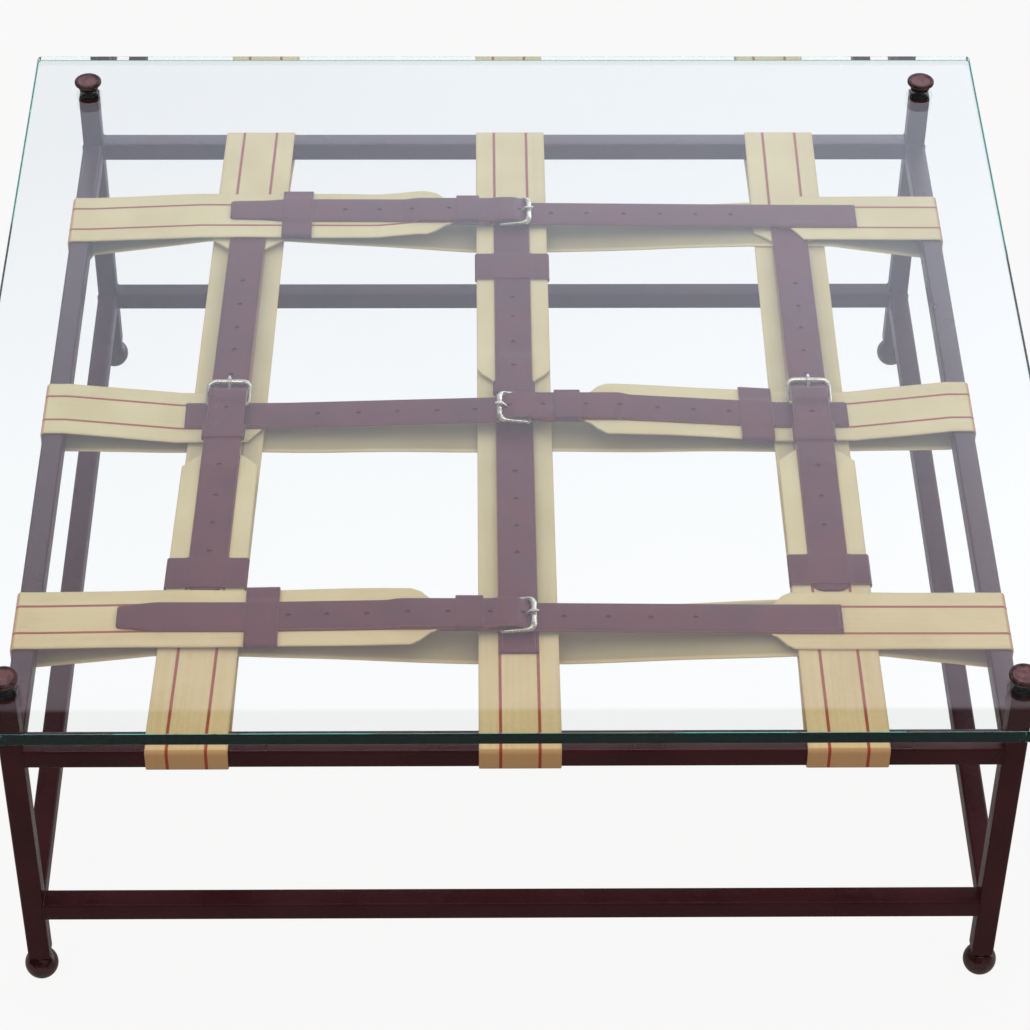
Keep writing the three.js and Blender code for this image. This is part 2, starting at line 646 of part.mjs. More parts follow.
// Along a loop u runs from the tip side (negative) to the sewn side.
// Every place is a share of half the leg spacing.
const loops = [
  {
    name: 'row_back', middleShare: 0.6873, offsetAxis: 'y', turn: 0, skewShare: -0.0055,
    buttShare: 0.8279, fullShare: 0.6995, narrowShare: 0.6698, sewnLevel: railLevel,
    barShare: -0.013, barLevel: overLeft, keeperShares: [-0.0633, -0.1172],
    freeNarrowShare: -0.1209, freeFullShare: -0.186, wideKeeperShares: [-0.5265, -0.4558], tipShare: -0.6493,
    holeShares: [0.5312, 0.4482, 0.3628, 0.2776, 0.19, 0.106, -0.1345, -0.2223, -0.298, -0.3788],
    topShares: [-0.7163], topLevels: [overLeft],
    bottomShares: [-0.6995, -0.506, -0.0819, 0.1079, 0.573, 0.7628],
    bottomLevels: [backThrough, backThrough, backMiddle, backMiddle, backThroughRight, backThroughRight],
  },
  {
    name: 'row_middle', middleShare: -0.0007, offsetAxis: 'y', turn: Math.PI, skewShare: 0,
    buttShare: 0.7163, fullShare: 0.5767, narrowShare: 0.5433, sewnLevel: middleUnder,
    barShare: -0.0465, barLevel: middleOver, keeperShares: [-0.0999, -0.1574],
    freeNarrowShare: -0.16, freeFullShare: -0.2177, wideKeeperShares: [-0.5855, -0.5126], tipShare: -0.7527,
    holeShares: [0.4231, 0.3328, 0.2471, 0.1589, 0.075, -0.0744, -0.171, -0.2461, -0.3299, -0.4093, -0.4884],
    topShares: [-0.7628, -0.5991, 0.7293], topLevels: [middleUnder, middleUnder, middleUnder],
    bottomShares: [-0.7628, 0.7181],
    bottomLevels: [middleBottom, middleBottom],
  },
  {
    name: 'row_front', middleShare: -0.6709, offsetAxis: 'y', turn: 0, skewShare: -0.0039,
    buttShare: 0.682, fullShare: 0.5786, narrowShare: 0.5284, sewnLevel: railLevel,
    barShare: -0.0223, barLevel: overLeft, keeperShares: [-0.0595, -0.1172],
    freeNarrowShare: -0.1488, freeFullShare: -0.2084, wideKeeperShares: [-0.5507, -0.4809], tipShare: -0.8149,
    holeShares: [0.379, 0.2867, 0.198, 0.107, -0.0456, -0.1325, -0.2153, -0.2999, -0.3823, -0.4625],
    topShares: [-0.7367, -0.5526], topLevels: [frontOverLeft, frontOverLeft],
    bottomShares: [-0.7367, -0.547, -0.0819, 0.1079, 0.573, 0.7628],
    bottomLevels: [frontThrough, frontThrough, frontMiddle, frontMiddle, frontThrough, frontThrough],
  },
  {
    name: 'column_left', middleShare: -0.6228, offsetAxis: 'x', turn: Math.PI / 2, skewShare: -0.0287,
    buttShare: 0.7033, fullShare: 0.5991, narrowShare: 0.5619, sewnLevel: railLevel,
    barShare: 0.0093, barLevel: columnBuckle, keeperShares: [-0.0744, -0.1153],
    freeNarrowShare: -0.1544, freeFullShare: -0.1953, wideKeeperShares: [-0.5712, -0.4847], tipShare: -0.5792,
    holeShares: [0.4394, 0.3561, 0.2744, 0.1976, 0.112, -0.0145, -0.2024, -0.2934, -0.3793, -0.464],
    topShares: [-0.7628, -0.5842], topLevels: [columnLevel, columnLevel],
    bottomShares: [-0.7628, -0.5767, -0.093, 0.093, 0.5953, 0.7833],
    bottomLevels: [columnUnderFront, columnUnderFront, columnUnderMiddle, columnUnderMiddle, leftUnderBack,
      leftUnderBack],
  },
  {
    name: 'column_right', middleShare: 0.6679, offsetAxis: 'x', turn: Math.PI / 2, skewShare: 0,
    buttShare: 0.7033, fullShare: 0.6419, narrowShare: 0.6047, sewnLevel: underBackEnd,
    barShare: 0.013, barLevel: columnBuckle, keeperShares: [-0.0707, -0.1265],
    freeNarrowShare: -0.1414, freeFullShare: -0.1823, wideKeeperShares: [-0.5656, -0.4781], tipShare: -0.5823,
    holeShares: [0.4398, 0.357, 0.2774, 0.1944, 0.1129, -0.0313, -0.2095, -0.3005, -0.3896],
    topShares: [-0.7628, -0.5842, 0.7628], topLevels: [columnLevel, columnLevel, underBackEnd],
    bottomShares: [-0.7628, -0.5767, -0.093, 0.093, 0.5953, 0.7628],
    bottomLevels: [columnUnderFront, columnUnderFront, columnUnderMiddle, columnUnderMiddle,
      backThroughRight - layer, backThroughRight - layer],
  },
  {
    name: 'column_centre', middleShare: 0.0126, offsetAxis: 'x', turn: -Math.PI / 2, skewShare: 0,
    buttShare: 0.763, fullShare: 0.6549, narrowShare: 0.6177, sewnLevel: underLeft,
    barShare: -0.0279, barLevel: centreUnder, keeperShares: [-0.0465, -0.093],
    freeNarrowShare: -0.1116, freeFullShare: -0.1674, wideKeeperShares: [-0.5507, -0.4651], tipShare: -0.7163,
    holeShares: [0.4595, 0.371, 0.2804, 0.1855, -0.168, -0.2515, -0.3353, -0.3993],
    topShares: [-0.7795, -0.5953, 0.7647], topLevels: [underLeft, underLeft, underLeft],
    bottomShares: [-0.7795, -0.5953, -0.093, 0.093, 0.5767, 0.7647],
    bottomLevels: [0, 0, centreBottom, centreBottom, 0, 0],
  },
];

const group = new THREE.Group();

function place(parent, name, geometry, material, x, y, z) {
  const mesh = new THREE.Mesh(geometry, material);
  mesh.name = name;
  mesh.position.set(x, y, z);
  parent.add(mesh);
}

function addFrame() {
  for (const [level, height] of [['upper', upperRailHeight], ['lower', lowerRailHeight]]) {
    place(group, `${level}_rail_front`, railGeometry(alongX), lacquer, 0, -halfSpan, height);
    place(group, `${level}_rail_back`, railGeometry(alongX), lacquer, 0, halfSpan, height);
    place(group, `${level}_rail_left`, railGeometry(alongY), lacquer, -halfSpan, 0, height);
    place(group, `${level}_rail_right`, railGeometry(alongY), lacquer, halfSpan, 0, height);
  }
  for (const [name, x, y] of [
    ['front_left', -halfSpan, -halfSpan], ['front_right', halfSpan, -halfSpan],
    ['back_left', -halfSpan, halfSpan], ['back_right', halfSpan, halfSpan],
  ]) {
    place(group, `leg_${name}`, legGeometry(), lacquer, x, y, 0);
    place(group, `foot_${name}`, footGeometry(), knobBrown, x, y, 0);
    place(group, `knob_${name}`, knobGeometry(), knobBrown, x, y, glassUnderside + glassThickness);
  }
  place(group, 'glass_top', glassGeometry(), clearGlass, 0, 0, 0);
}

function addLoop(loop) {
  const belt = new THREE.Group();
  const offset = loop.middleShare * halfSpan;
  belt.position.z = upperRailHeight;
  belt.position[loop.offsetAxis] = offset;
  belt.rotation.z = loop.turn;
  const skew = new THREE.Matrix4().makeShear(loop.skewShare, 0, 0, 0, 0, 0);
  const pieces = [
    ['webbing', webbingGeometry, cream],
    ['strap', strapGeometry, leather],
    ['chape', chapeGeometry, leather],
    ['buckle', buckleGeometry, chrome],
    ['prong', prongGeometry, chrome],
    ['keeper', keeperGeometry, leather],
  ];
  for (const [name, make, material] of pieces) {
    place(belt, `${name}_${loop.name}`, make(loop).applyMatrix4(skew), material, 0, 0, 0);
  }
  group.add(belt);
}

addFrame();
loops.forEach(addLoop);

export default group;
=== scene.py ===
import math

import bmesh
import bpy
from mathutils import Matrix, Vector


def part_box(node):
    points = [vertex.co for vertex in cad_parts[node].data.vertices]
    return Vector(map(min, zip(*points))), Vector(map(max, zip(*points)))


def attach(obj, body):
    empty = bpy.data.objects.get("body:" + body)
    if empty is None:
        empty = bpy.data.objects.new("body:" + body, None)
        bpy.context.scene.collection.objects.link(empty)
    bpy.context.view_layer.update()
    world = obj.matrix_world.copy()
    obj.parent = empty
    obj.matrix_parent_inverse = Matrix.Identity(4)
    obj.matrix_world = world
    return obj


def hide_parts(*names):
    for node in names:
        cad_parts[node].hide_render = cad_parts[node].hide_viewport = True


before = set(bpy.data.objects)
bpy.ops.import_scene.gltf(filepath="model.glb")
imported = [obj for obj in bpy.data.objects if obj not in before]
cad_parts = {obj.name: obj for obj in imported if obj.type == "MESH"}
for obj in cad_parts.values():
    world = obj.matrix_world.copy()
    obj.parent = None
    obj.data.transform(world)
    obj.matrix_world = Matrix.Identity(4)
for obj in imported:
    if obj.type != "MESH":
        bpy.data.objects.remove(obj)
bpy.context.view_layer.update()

# A low square table: steel tube frame, glass top, and six webbing loops closed by leather belts.
# Metres, +Z up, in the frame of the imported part.

# Camera and picture
IMAGE_PIXELS = 1030
CAMERA_PLACE = Vector((-0.0477, -2.9663, 2.9575))
CAMERA_YAW = 0.0190
CAMERA_PITCH = -0.7461
CAMERA_ROLL = 0.0108
FOCAL_PIXELS = 3295.9
SENSOR = 36.0

# Light and surroundings
FLOOR_REACH = 20.0
FLOOR_COLOUR = (0.44, 0.42, 0.41)
FLOOR_WHITE = (1.0, 0.995, 0.995)
FLOOR_CLOUDS = 0.96
FLOOR_GLOW_SHARE = 0.92
FLOOR_GLOSS_SHARE = 0.12
FLOOR_THROUGH_GLASS = 0.06
FLOOR_FAR_SHADE = 0.20
FLOOR_FAR = 1.2
SKY_BASE = 0.40
SKY_UP = 0.88
SKY_BACK = 0.08
SKY_COLOUR = (1.0, 0.985, 0.965)
BACKDROP_LOW = math.radians(36.4)
BACKDROP_TOP = math.radians(46.13)
BACKDROP_FADE = math.radians(0.05)
BACKDROP_BRIGHT = (1.33, 1.42, 1.70)
BACKDROP_DIM = (0.98, 0.90, 1.04)
BACKDROP_RIGHT = 1.1
CEILING_COLOUR = (0.05, 0.05, 0.05)
SKYLIGHT_FROM = math.sin(math.radians(66))
SKYLIGHT_TO = math.sin(math.radians(72))
SKYLIGHT_COLOUR = (2.2, 2.1, 2.05)

# Clearances
GAP = 0.0003
CROSS_GAP = 0.0013

# Frame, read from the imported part
rail_low, rail_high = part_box("upper_rail_front")
TUBE = rail_high.z - rail_low.z
HALF_SPAN = -(rail_low.y + rail_high.y) / 2
RAIL_HEIGHT = (rail_low.z + rail_high.z) / 2
RAIL_INSIDE = HALF_SPAN - TUBE / 2
glass_low, glass_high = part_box("glass_top")
TUBE_CORNER = 0.003
WELD_RADIUS = 0.0011
SEAT_HEIGHT = 0.003
SEAT_DIAMETER = 0.024

# Glass
GLASS_BEVEL = 0.0010
GLASS_HOLE = 0.012
GLASS_CORNER = 0.005
GLASS_INDEX = 1.54
GLASS_GREEN = (0.30, 0.80, 0.72)
GLASS_DENSITY = 3.0
GLASS_FLAT = 0.95
GLASS_EDGE_CLEAR = 0.975

# Knobs and feet
HEAD_DIAMETER = 0.0343
HEAD_THICKNESS = 0.0055
HEAD_RIM = 0.005
DISH_DEPTH = 0.0008
NECK_DIAMETER = 0.0245
NECK_HEIGHT = 0.007
NECK_GROOVE = 0.0009
STUD_DIAMETER = 0.008
KNOB_STUD = 0.045
FOOT_HEIGHT = 0.037
BALL_DIAMETER = 0.038
BALL_CENTRE = 0.01725
COLLAR_DIAMETER = 0.022
COLLAR_LIP = 0.0008
FOOT_STUD = 0.025

# Webbing
WEBBING_WIDTH = 0.0889
WEBBING_THICKNESS = 0.0024
WEBBING_END_WIDTH = 0.041
WEBBING_ROLL = 0.0016
WEBBING_TUCK = 0.014
WEBBING_CURL = 0.0007
CURL_LENGTH = 0.19
CURL_PHASE = 40
CURL_POWER = 4
CURL_ONSET = 4
CURL_OTHER_SIDE = -0.6
LINE_OFFSET = 0.021
LINE_WIDTH = 0.0033
LINE_BLUR = (0.0003, 0.0004)
WARP_PITCH = 0.0022
WEFT_PITCH = 0.0018
SELVEDGE = 0.004

# Leather. The outline of a tip is a row of (distance from the tip, share of the width).
STRAP_WIDTH = 0.044
STRAP_THICKNESS = 0.003
TIP_LONG = ((0, 0.68), (0.0015, 0.76), (0.004, 0.80), (0.045, 0.86), (0.070, 1))
TIP_SHORT = ((0, 0.66), (0.0015, 0.74), (0.004, 0.78), (0.042, 1))
TIP_SQUARE = ((0, 0.92), (0.0015, 0.97), (0.004, 1))
TIP_ROUND = ((0, 0.44), (0.0012, 0.64), (0.004, 0.83), (0.008, 0.95), (0.012, 1))
STRAP_EDGE = 0.0009
STRAP_CROWN = 0.0002
STRAP_STEP = 0.014
HOLE_DIAMETER = 0.006
# The round holes stop short of the underside: the leather left in them is a dark floor standing in for the
# shade seen down a through hole.
HOLE_SHADE_SKIN = 0.0006
PRONG_HOLE_LENGTH = 0.010
CHAPE_WIDTH = 0.041
CHAPE_THICKNESS = 0.0024
CHAPE_LAP = 0.012
KEEPER_THICKNESS = 0.0018
KEEPER_EDGE = 0.0006
KEEPER_CLEARANCE = 0.0003
KEEPER_CROWN = 0.0007
SMALL_KEEPER_THICKNESS = 0.0024
SMALL_KEEPER_ROOM = 0.001
BEND_RADIUS = 0.040
SHIFT_LENGTH = 0.05
CREASE_MARGIN = 0.0026
CREASE_WIDTH = 0.0005
EDGE_PAINT = 0.0014
STITCH_PITCH = 0.0042
STITCH_LENGTH = 0.0029
STITCH_RADIUS = 0.0005
STITCH_MARGIN = 0.0038
STITCH_ARCH = 0.4
STITCH_SHOULDER = 0.25
STITCH_SWELL = 0.2
STITCH_TAPER = (0.6, 0.95, 1.0, 0.95, 0.6)
STITCH_LEAD = 0.15

# Buckle frame and prong
BAR_DIAMETER = 0.0044
FRAME_LENGTH = 0.036
FRAME_RISE = 0.004
FRAME_INSIDE = 0.045
HEEL_CORNER = 0.004
FRONT_CORNER = 0.009
FACET_SLACK = 0.00025
PRONG_THICKNESS = 0.0026
PRONG_WIDTH = 0.004
PRONG_TIP_WIDTH = 0.0024
PRONG_OVERHANG = 0.0055
PRONG_BEND_SHARES = (0.64, 0.90)
PRONG_DROP_SHARE = 0.12
FRONT_BAR_EXTRA = 0.0015
HUMP_SHARE = 0.5
FOLD_SLACK = 0.00045
FRONT_SLACK = 0.0018
SLOT_MARGIN = 0.0012

# Fineness of the meshes
TURN_STEPS = 20
STRAIGHT_TURN = math.radians(0.25)
MITRE_LIMIT = 0.5
ROUND_STEPS = 48
ROD_SIDES = 16
STITCH_SIDES = 6
CORNER_SEGMENTS = 6
BEVEL_SEGMENTS = 2
WEBBING_STEP = 0.012
WEBBING_COLUMNS = 14
STRAP_STEP_LENGTH = 0.010
STRAP_COLUMNS = 8
CHAPE_COLUMNS = 4
PRONG_COLUMNS = 2
ARC_STEPS = 6
SMOOTH_ANGLE = math.radians(40)

# Heights of the layers in a belt, above the middle of its webbing
RAIL_LEVEL = TUBE / 2 + GAP + WEBBING_THICKNESS / 2
WRAP_RADIUS = TUBE_CORNER + GAP + WEBBING_THICKNESS / 2
STRAP_RISE = WEBBING_THICKNESS / 2 + GAP + STRAP_THICKNESS / 2
STACK_RISE = STRAP_RISE + STRAP_THICKNESS / 2
CHAPE_RISE = WEBBING_THICKNESS / 2 + GAP + CHAPE_THICKNESS / 2
CHAPE_TOP = CHAPE_RISE + CHAPE_THICKNESS / 2
FOLD_RADIUS = BAR_DIAMETER / 2 + GAP + CHAPE_THICKNESS / 2 + FACET_SLACK
FOLD_REACH = FOLD_RADIUS + CHAPE_THICKNESS / 2
FOLD_TAIL = FOLD_REACH * 3 / 2
STRAP_ON_CHAPE = CHAPE_TOP + GAP + STRAP_THICKNESS / 2
RING_TOP = STRAP_ON_CHAPE + STRAP_THICKNESS / 2 + GAP
RING_REACH = RING_TOP + KEEPER_THICKNESS
STRAP_OVER_BAR = FOLD_REACH + GAP + STRAP_THICKNESS / 2 + FOLD_SLACK
STRAP_UNDER_FRONT = FRAME_RISE - BAR_DIAMETER / 2 - GAP - STRAP_THICKNESS / 2 - FRONT_SLACK
LAYER = WEBBING_THICKNESS + CROSS_GAP

# Levels of the webbing where the loops cross, above the middle of the upper rails
OVER_LEFT = RAIL_LEVEL + STACK_RISE + CROSS_GAP + WEBBING_THICKNESS / 2
FRONT_OVER_LEFT = RAIL_LEVEL + LAYER - GAP * 2
UNDER_LEFT = OVER_LEFT - FOLD_REACH - CROSS_GAP - STACK_RISE
UNDER_BACK_END = RAIL_LEVEL - WEBBING_THICKNESS / 2 - CROSS_GAP - STACK_RISE
COLUMN_LEVEL = RAIL_LEVEL - LAYER
COLUMN_BUCKLE = RAIL_LEVEL + GAP * 3
MIDDLE_UNDER = RAIL_LEVEL - LAYER * 4
MIDDLE_OVER = RAIL_LEVEL - CROSS_GAP
CENTRE_UNDER = MIDDLE_OVER - FOLD_REACH - CROSS_GAP - RING_REACH
CENTRE_BOTTOM = CENTRE_UNDER - FOLD_REACH - CROSS_GAP - WEBBING_THICKNESS / 2
MIDDLE_BOTTOM = -RAIL_LEVEL - WEBBING_THICKNESS
BACK_THROUGH = RAIL_LEVEL - WEBBING_THICKNESS - CROSS_GAP * 2
LEFT_UNDER_BACK = BACK_THROUGH - WEBBING_THICKNESS - CROSS_GAP * 2
BACK_THROUGH_RIGHT = UNDER_BACK_END - LAYER
FRONT_THROUGH = COLUMN_LEVEL - LAYER * 2
COLUMN_UNDER_FRONT = FRONT_THROUGH - LAYER - LAYER / 2
COLUMN_UNDER_MIDDLE = MIDDLE_UNDER - LAYER * 2
BACK_MIDDLE = -LAYER * 2
FRONT_MIDDLE = BACK_MIDDLE - LAYER / 2

# Along a loop u runs from the tip side (negative) to the sewn side. Every place is a share of half
# the leg spacing, apart from aside, in metres. over: knots (place, level) of the webbing's upper runs
# where it crosses other loops. under: level stretches (from, to, level) of its lower run.
LOOPS = [
    dict(
        name="row_back", middle=0.6873, axis=1, turn=0, skew=-0.0055,
        butt=0.8279, full=0.6995, narrow=0.6698, sewn_level=RAIL_LEVEL,
        bar=-0.013, bar_level=OVER_LEFT, keeper=(-0.0633, -0.1172), free_narrow=-0.1209, free_full=-0.186,
        wide_keeper=(-0.5265, -0.4558), aside=-0.0075, tip=-0.6493, tip_outline=TIP_LONG,
        holes=(0.5312, 0.4482, 0.3628, 0.2776, 0.19, 0.106, -0.1345, -0.2223, -0.298, -0.3788),
        over=((-0.7163, OVER_LEFT),),
        under=((-0.6995, -0.506, BACK_THROUGH), (-0.0819, 0.1079, BACK_MIDDLE),
               (0.573, 0.7628, BACK_THROUGH_RIGHT)),
    ),
    dict(
        name="row_middle", middle=-0.0007, axis=1, turn=math.pi, skew=0,
        butt=0.7163, full=0.5767, narrow=0.5433, sewn_level=MIDDLE_UNDER,
        bar=-0.0465, bar_level=MIDDLE_OVER, keeper=(-0.0999, -0.1574), free_narrow=-0.16, free_full=-0.2177,
        wide_keeper=(-0.5855, -0.5126), aside=-0.001, tip=-0.7527, tip_outline=TIP_SQUARE,
        holes=(0.4231, 0.3328, 0.2471, 0.1589, 0.075, -0.0744, -0.171, -0.2461, -0.3299, -0.4093, -0.4884),
        over=((-0.7628, MIDDLE_UNDER), (-0.5991, MIDDLE_UNDER), (0.7293, MIDDLE_UNDER)),
        under=((-0.7628, 0.7181, MIDDLE_BOTTOM),),
    ),
    dict(
        name="row_front", middle=-0.6709, axis=1, turn=0, skew=-0.0039,
        butt=0.682, full=0.5786, narrow=0.5284, sewn_level=RAIL_LEVEL,
        bar=-0.0223, bar_level=OVER_LEFT, keeper=(-0.0595, -0.1172), free_narrow=-0.1488, free_full=-0.2084,
        wide_keeper=(-0.5507, -0.4809), aside=0, tip=-0.8149, tip_outline=TIP_SHORT,
        holes=(0.379, 0.2867, 0.198, 0.107, -0.0456, -0.1325, -0.2153, -0.2999, -0.3823, -0.4625),
        over=((-0.7367, FRONT_OVER_LEFT), (-0.5526, FRONT_OVER_LEFT)),
        under=((-0.7367, -0.547, FRONT_THROUGH), (-0.0819, 0.1079, FRONT_MIDDLE),
               (0.573, 0.7628, FRONT_THROUGH)),
    ),
    dict(
        name="column_left", middle=-0.6228, axis=0, turn=math.pi / 2, skew=-0.0287,
        butt=0.7033, full=0.5991, narrow=0.5619, sewn_level=RAIL_LEVEL,
        bar=0.0093, bar_level=COLUMN_BUCKLE, keeper=(-0.0744, -0.1153), free_narrow=-0.1544,
        free_full=-0.1953, wide_keeper=(-0.5712, -0.4847), aside=0, tip=-0.5792, tip_outline=TIP_ROUND,
        holes=(0.4394, 0.3561, 0.2744, 0.1976, 0.112, -0.0145, -0.2024, -0.2934, -0.3793, -0.464),
        over=((-0.7628, COLUMN_LEVEL), (-0.5842, COLUMN_LEVEL)),
        under=((-0.7628, -0.5767, COLUMN_UNDER_FRONT), (-0.093, 0.093, COLUMN_UNDER_MIDDLE),
               (0.5953, 0.7833, LEFT_UNDER_BACK)),
    ),
    dict(
        name="column_right", middle=0.6679, axis=0, turn=math.pi / 2, skew=0,
        butt=0.7033, full=0.6419, narrow=0.6047, sewn_level=UNDER_BACK_END,
        bar=0.013, bar_level=COLUMN_BUCKLE, keeper=(-0.0707, -0.1265), free_narrow=-0.1414,
        free_full=-0.1823, wide_keeper=(-0.5656, -0.4781), aside=0, tip=-0.5823, tip_outline=TIP_ROUND,
        holes=(0.4398, 0.357, 0.2774, 0.1944, 0.1129, -0.0313, -0.2095, -0.3005, -0.3896),
        over=((-0.7628, COLUMN_LEVEL), (-0.5842, COLUMN_LEVEL), (0.7628, UNDER_BACK_END)),
        under=((-0.7628, -0.5767, COLUMN_UNDER_FRONT), (-0.093, 0.093, COLUMN_UNDER_MIDDLE),
               (0.5953, 0.7628, BACK_THROUGH_RIGHT - LAYER)),
    ),
    dict(
        name="column_centre", middle=0.0126, axis=0, turn=-math.pi / 2, skew=0,
        butt=0.763, full=0.6549, narrow=0.6177, sewn_level=UNDER_LEFT,
        bar=-0.056, bar_level=CENTRE_UNDER, keeper=(-0.0712, -0.109), free_narrow=-0.1116,
        free_full=-0.1674, wide_keeper=(-0.5507, -0.4651), aside=0, tip=-0.7163, tip_outline=TIP_ROUND,
        holes=(0.4595, 0.371, 0.2804, 0.1855, -0.168, -0.2515, -0.3353, -0.3993),
        over=((-0.7795, UNDER_LEFT), (-0.5953, UNDER_LEFT), (0.7647, UNDER_LEFT)),
        under=((-0.7795, -0.5953, 0), (-0.093, 0.093, CENTRE_BOTTOM), (0.5767, 0.7647, 0)),
    ),
]


def new_object(name, data):
    item = bpy.data.objects.new(name, data)
    bpy.context.scene.collection.objects.link(item)
    return item


def make_camera():
    forward = Vector((
        math.sin(CAMERA_YAW) * math.cos(CAMERA_PITCH),
        math.cos(CAMERA_YAW) * math.cos(CAMERA_PITCH),
        math.sin(CAMERA_PITCH),
    ))
    level = Vector((math.cos(CAMERA_YAW), -math.sin(CAMERA_YAW), 0))
    upright = level.cross(forward)
    right = level * math.cos(CAMERA_ROLL) + upright * math.sin(CAMERA_ROLL)
    up = upright * math.cos(CAMERA_ROLL) - level * math.sin(CAMERA_ROLL)
    data = bpy.data.cameras.new("camera")
    data.sensor_width = SENSOR
    data.lens = FOCAL_PIXELS / IMAGE_PIXELS * SENSOR
    camera = new_object("camera", data)
    turn = Matrix((right, up, -forward)).transposed().to_4x4()
    camera.matrix_world = Matrix.Translation(CAMERA_PLACE) @ turn
    bpy.context.scene.camera = camera


# Nodes of a material

class Nodes:
    """Short ways to add and join the nodes of a tree."""

    def __init__(self, tree):
        self.tree = tree

    def link(self, source, target):
        self.tree.links.new(source, target)

    def feed(self, socket, value):
        if isinstance(value, bpy.types.NodeSocket):
            self.link(value, socket)
        else:
            socket.default_value = value

    def node(self, kind, **inputs):
        node = self.tree.nodes.new(kind)
        for name, value in inputs.items():
            self.feed(node.inputs[name.replace("_", " ")], value)
        return node

    def math(self, operation, *values):
        node = self.tree.nodes.new("ShaderNodeMath")
        node.operation = operation
        for socket, value in zip(node.inputs, (*values, 0.0, 0.0)):
            self.feed(socket, value)
        return node.outputs[0]

    def times(self, first, second):
        return self.math("MULTIPLY", first, second)

    def size(self, value):
        return self.math("ABSOLUTE", value)

    def parts(self, vector):
        return self.node("ShaderNodeSeparateXYZ", Vector=vector).outputs

    def ramp(self, value, low, high, bottom=0.0, top=1.0):
        node = self.node("ShaderNodeMapRange", Value=value, From_Min=low, From_Max=high,
                         To_Min=bottom, To_Max=top)
        node.interpolation_type = "SMOOTHSTEP"
        return node.outputs["Result"]

    def noise(self, where, scale, detail=3.0, low=0.3, high=0.7):
        noise = self.node("ShaderNodeTexNoise", Vector=where, Scale=scale, Detail=detail)
        return self.ramp(noise.outputs["Fac"], low, high)

    def mix(self, share, first, second):
        node = self.tree.nodes.new("ShaderNodeMix")
        node.data_type = "RGBA"
        for name, value in (("Factor", share), ("A", first), ("B", second)):
            socket = next(s for s in node.inputs if s.name == name and s.enabled)
            self.feed(socket, (*value, 1) if isinstance(value, tuple) else value)
        return next(s for s in node.outputs if s.enabled)

    def tint(self, base, amount, share, colour):
        """Lays a share of a colour over the base, where there is an amount of it."""
        return self.mix(self.times(amount, share), base, colour)

    def blend(self, share, first, second):
        node = self.tree.nodes.new("ShaderNodeMixShader")
        self.link(share, node.inputs[0])
        self.link(first.outputs[0], node.inputs[1])
        self.link(second.outputs[0], node.inputs[2])
        return node


class Shader(Nodes):
    """A material with one Principled shader."""

    def __init__(self, name, colour, roughness, metallic=0.0, gloss=0.5):
        self.material = bpy.data.materials.new(name)
        self.material.use_nodes = True
        super().__init__(self.material.node_tree)
        self.surface = self.tree.nodes["Principled BSDF"]
        self.set("Base Color", (*colour, 1))
        self.set("Roughness", roughness)
        self.set("Metallic", metallic)
        self.set("Specular IOR Level", gloss)

    def set(self, socket, value):
        self.surface.inputs[socket].default_value = value

    def place(self):
        return self.tree.nodes.new("ShaderNodeTexCoord").outputs["Object"]

    def cloth(self):
        """Length along a strip and place across it, in metres."""
        node = self.tree.nodes.new("ShaderNodeUVMap")
        node.uv_map = "cloth"
        return node.outputs[0], *self.parts(node.outputs[0])[:2]

    def colour(self, socket):
        self.link(socket, self.surface.inputs["Base Color"])

    def roughness(self, share, low, high):
        self.link(self.ramp(share, 0, 1, low, high), self.surface.inputs["Roughness"])

    def bump(self, height, strength, distance):
        node = self.node("ShaderNodeBump", Strength=strength, Distance=distance, Height=height)
        self.link(node.outputs["Normal"], self.surface.inputs["Normal"])

    def show(self, **ends):
        output = next(n for n in self.tree.nodes if n.type == "OUTPUT_MATERIAL")
        for name, node in ends.items():
            self.link(node.outputs[0], output.inputs[name])


def lacquer_material(name, gloss):
    """Dark red-brown gloss paint on steel: slight orange peel, faint cloudiness and fine specks."""
    shader = Shader(name, (0.042, 0.008, 0.010), 0.22, gloss=gloss)
    where = shader.place()
    clouds = shader.noise(where, 9.0)
    base = shader.mix(clouds, (0.034, 0.0065, 0.0085), (0.050, 0.0105, 0.013))
    shader.colour(shader.tint(base, shader.noise(where, 420.0, 2.0, 0.62, 0.72), 0.25, (0.09, 0.03, 0.03)))
    shader.roughness(clouds, 0.24, 0.34)
    shader.bump(shader.noise(where, 260.0, 2.0), 0.12, 0.0004)
    return shader.material


def bronze_material(name, dark, light, roughness, gloss):
    """Bronzed steel: brown tarnish over a coppery ground, with turning marks."""
    shader = Shader(name, light, roughness, 0.15, gloss)
    where = shader.place()
    tarnish = shader.noise(where, 130.0, 5.0, 0.35, 0.65)
    shader.colour(shader.mix(tarnish, dark, light))
    shader.roughness(tarnish, roughness - 0.08, roughness + 0.1)
    shader.bump(shader.noise(where, 900.0, 2.0), 0.15, 0.0002)
    return shader.material


def rubber_material():
    """Black rubber, dull, with a fine moulded grain."""
    shader = Shader("rubber", (0.012, 0.012, 0.013), 0.5, gloss=0.15)
    where = shader.place()
    shader.colour(shader.mix(shader.noise(where, 300.0), (0.008, 0.008, 0.009), (0.02, 0.02, 0.021)))
    shader.bump(shader.noise(where, 1500.0, 2.0), 0.2, 0.0002)
    return shader.material


def nickel_material():
    """Bright nickel plate with fine scratches and soft tarnish."""
    shader = Shader("nickel", (0.86, 0.80, 0.66), 0.3, 1.0)
    where = shader.place()
    tarnish = shader.noise(where, 160.0, 4.0, 0.4, 0.75)
    shader.colour(shader.mix(shader.times(tarnish, 0.5), (0.80, 0.75, 0.62), (0.40, 0.34, 0.24)))
    shader.roughness(tarnish, 0.26, 0.44)
    shader.bump(shader.noise(where, 1800.0, 2.0), 0.1, 0.0001)
    return shader.material


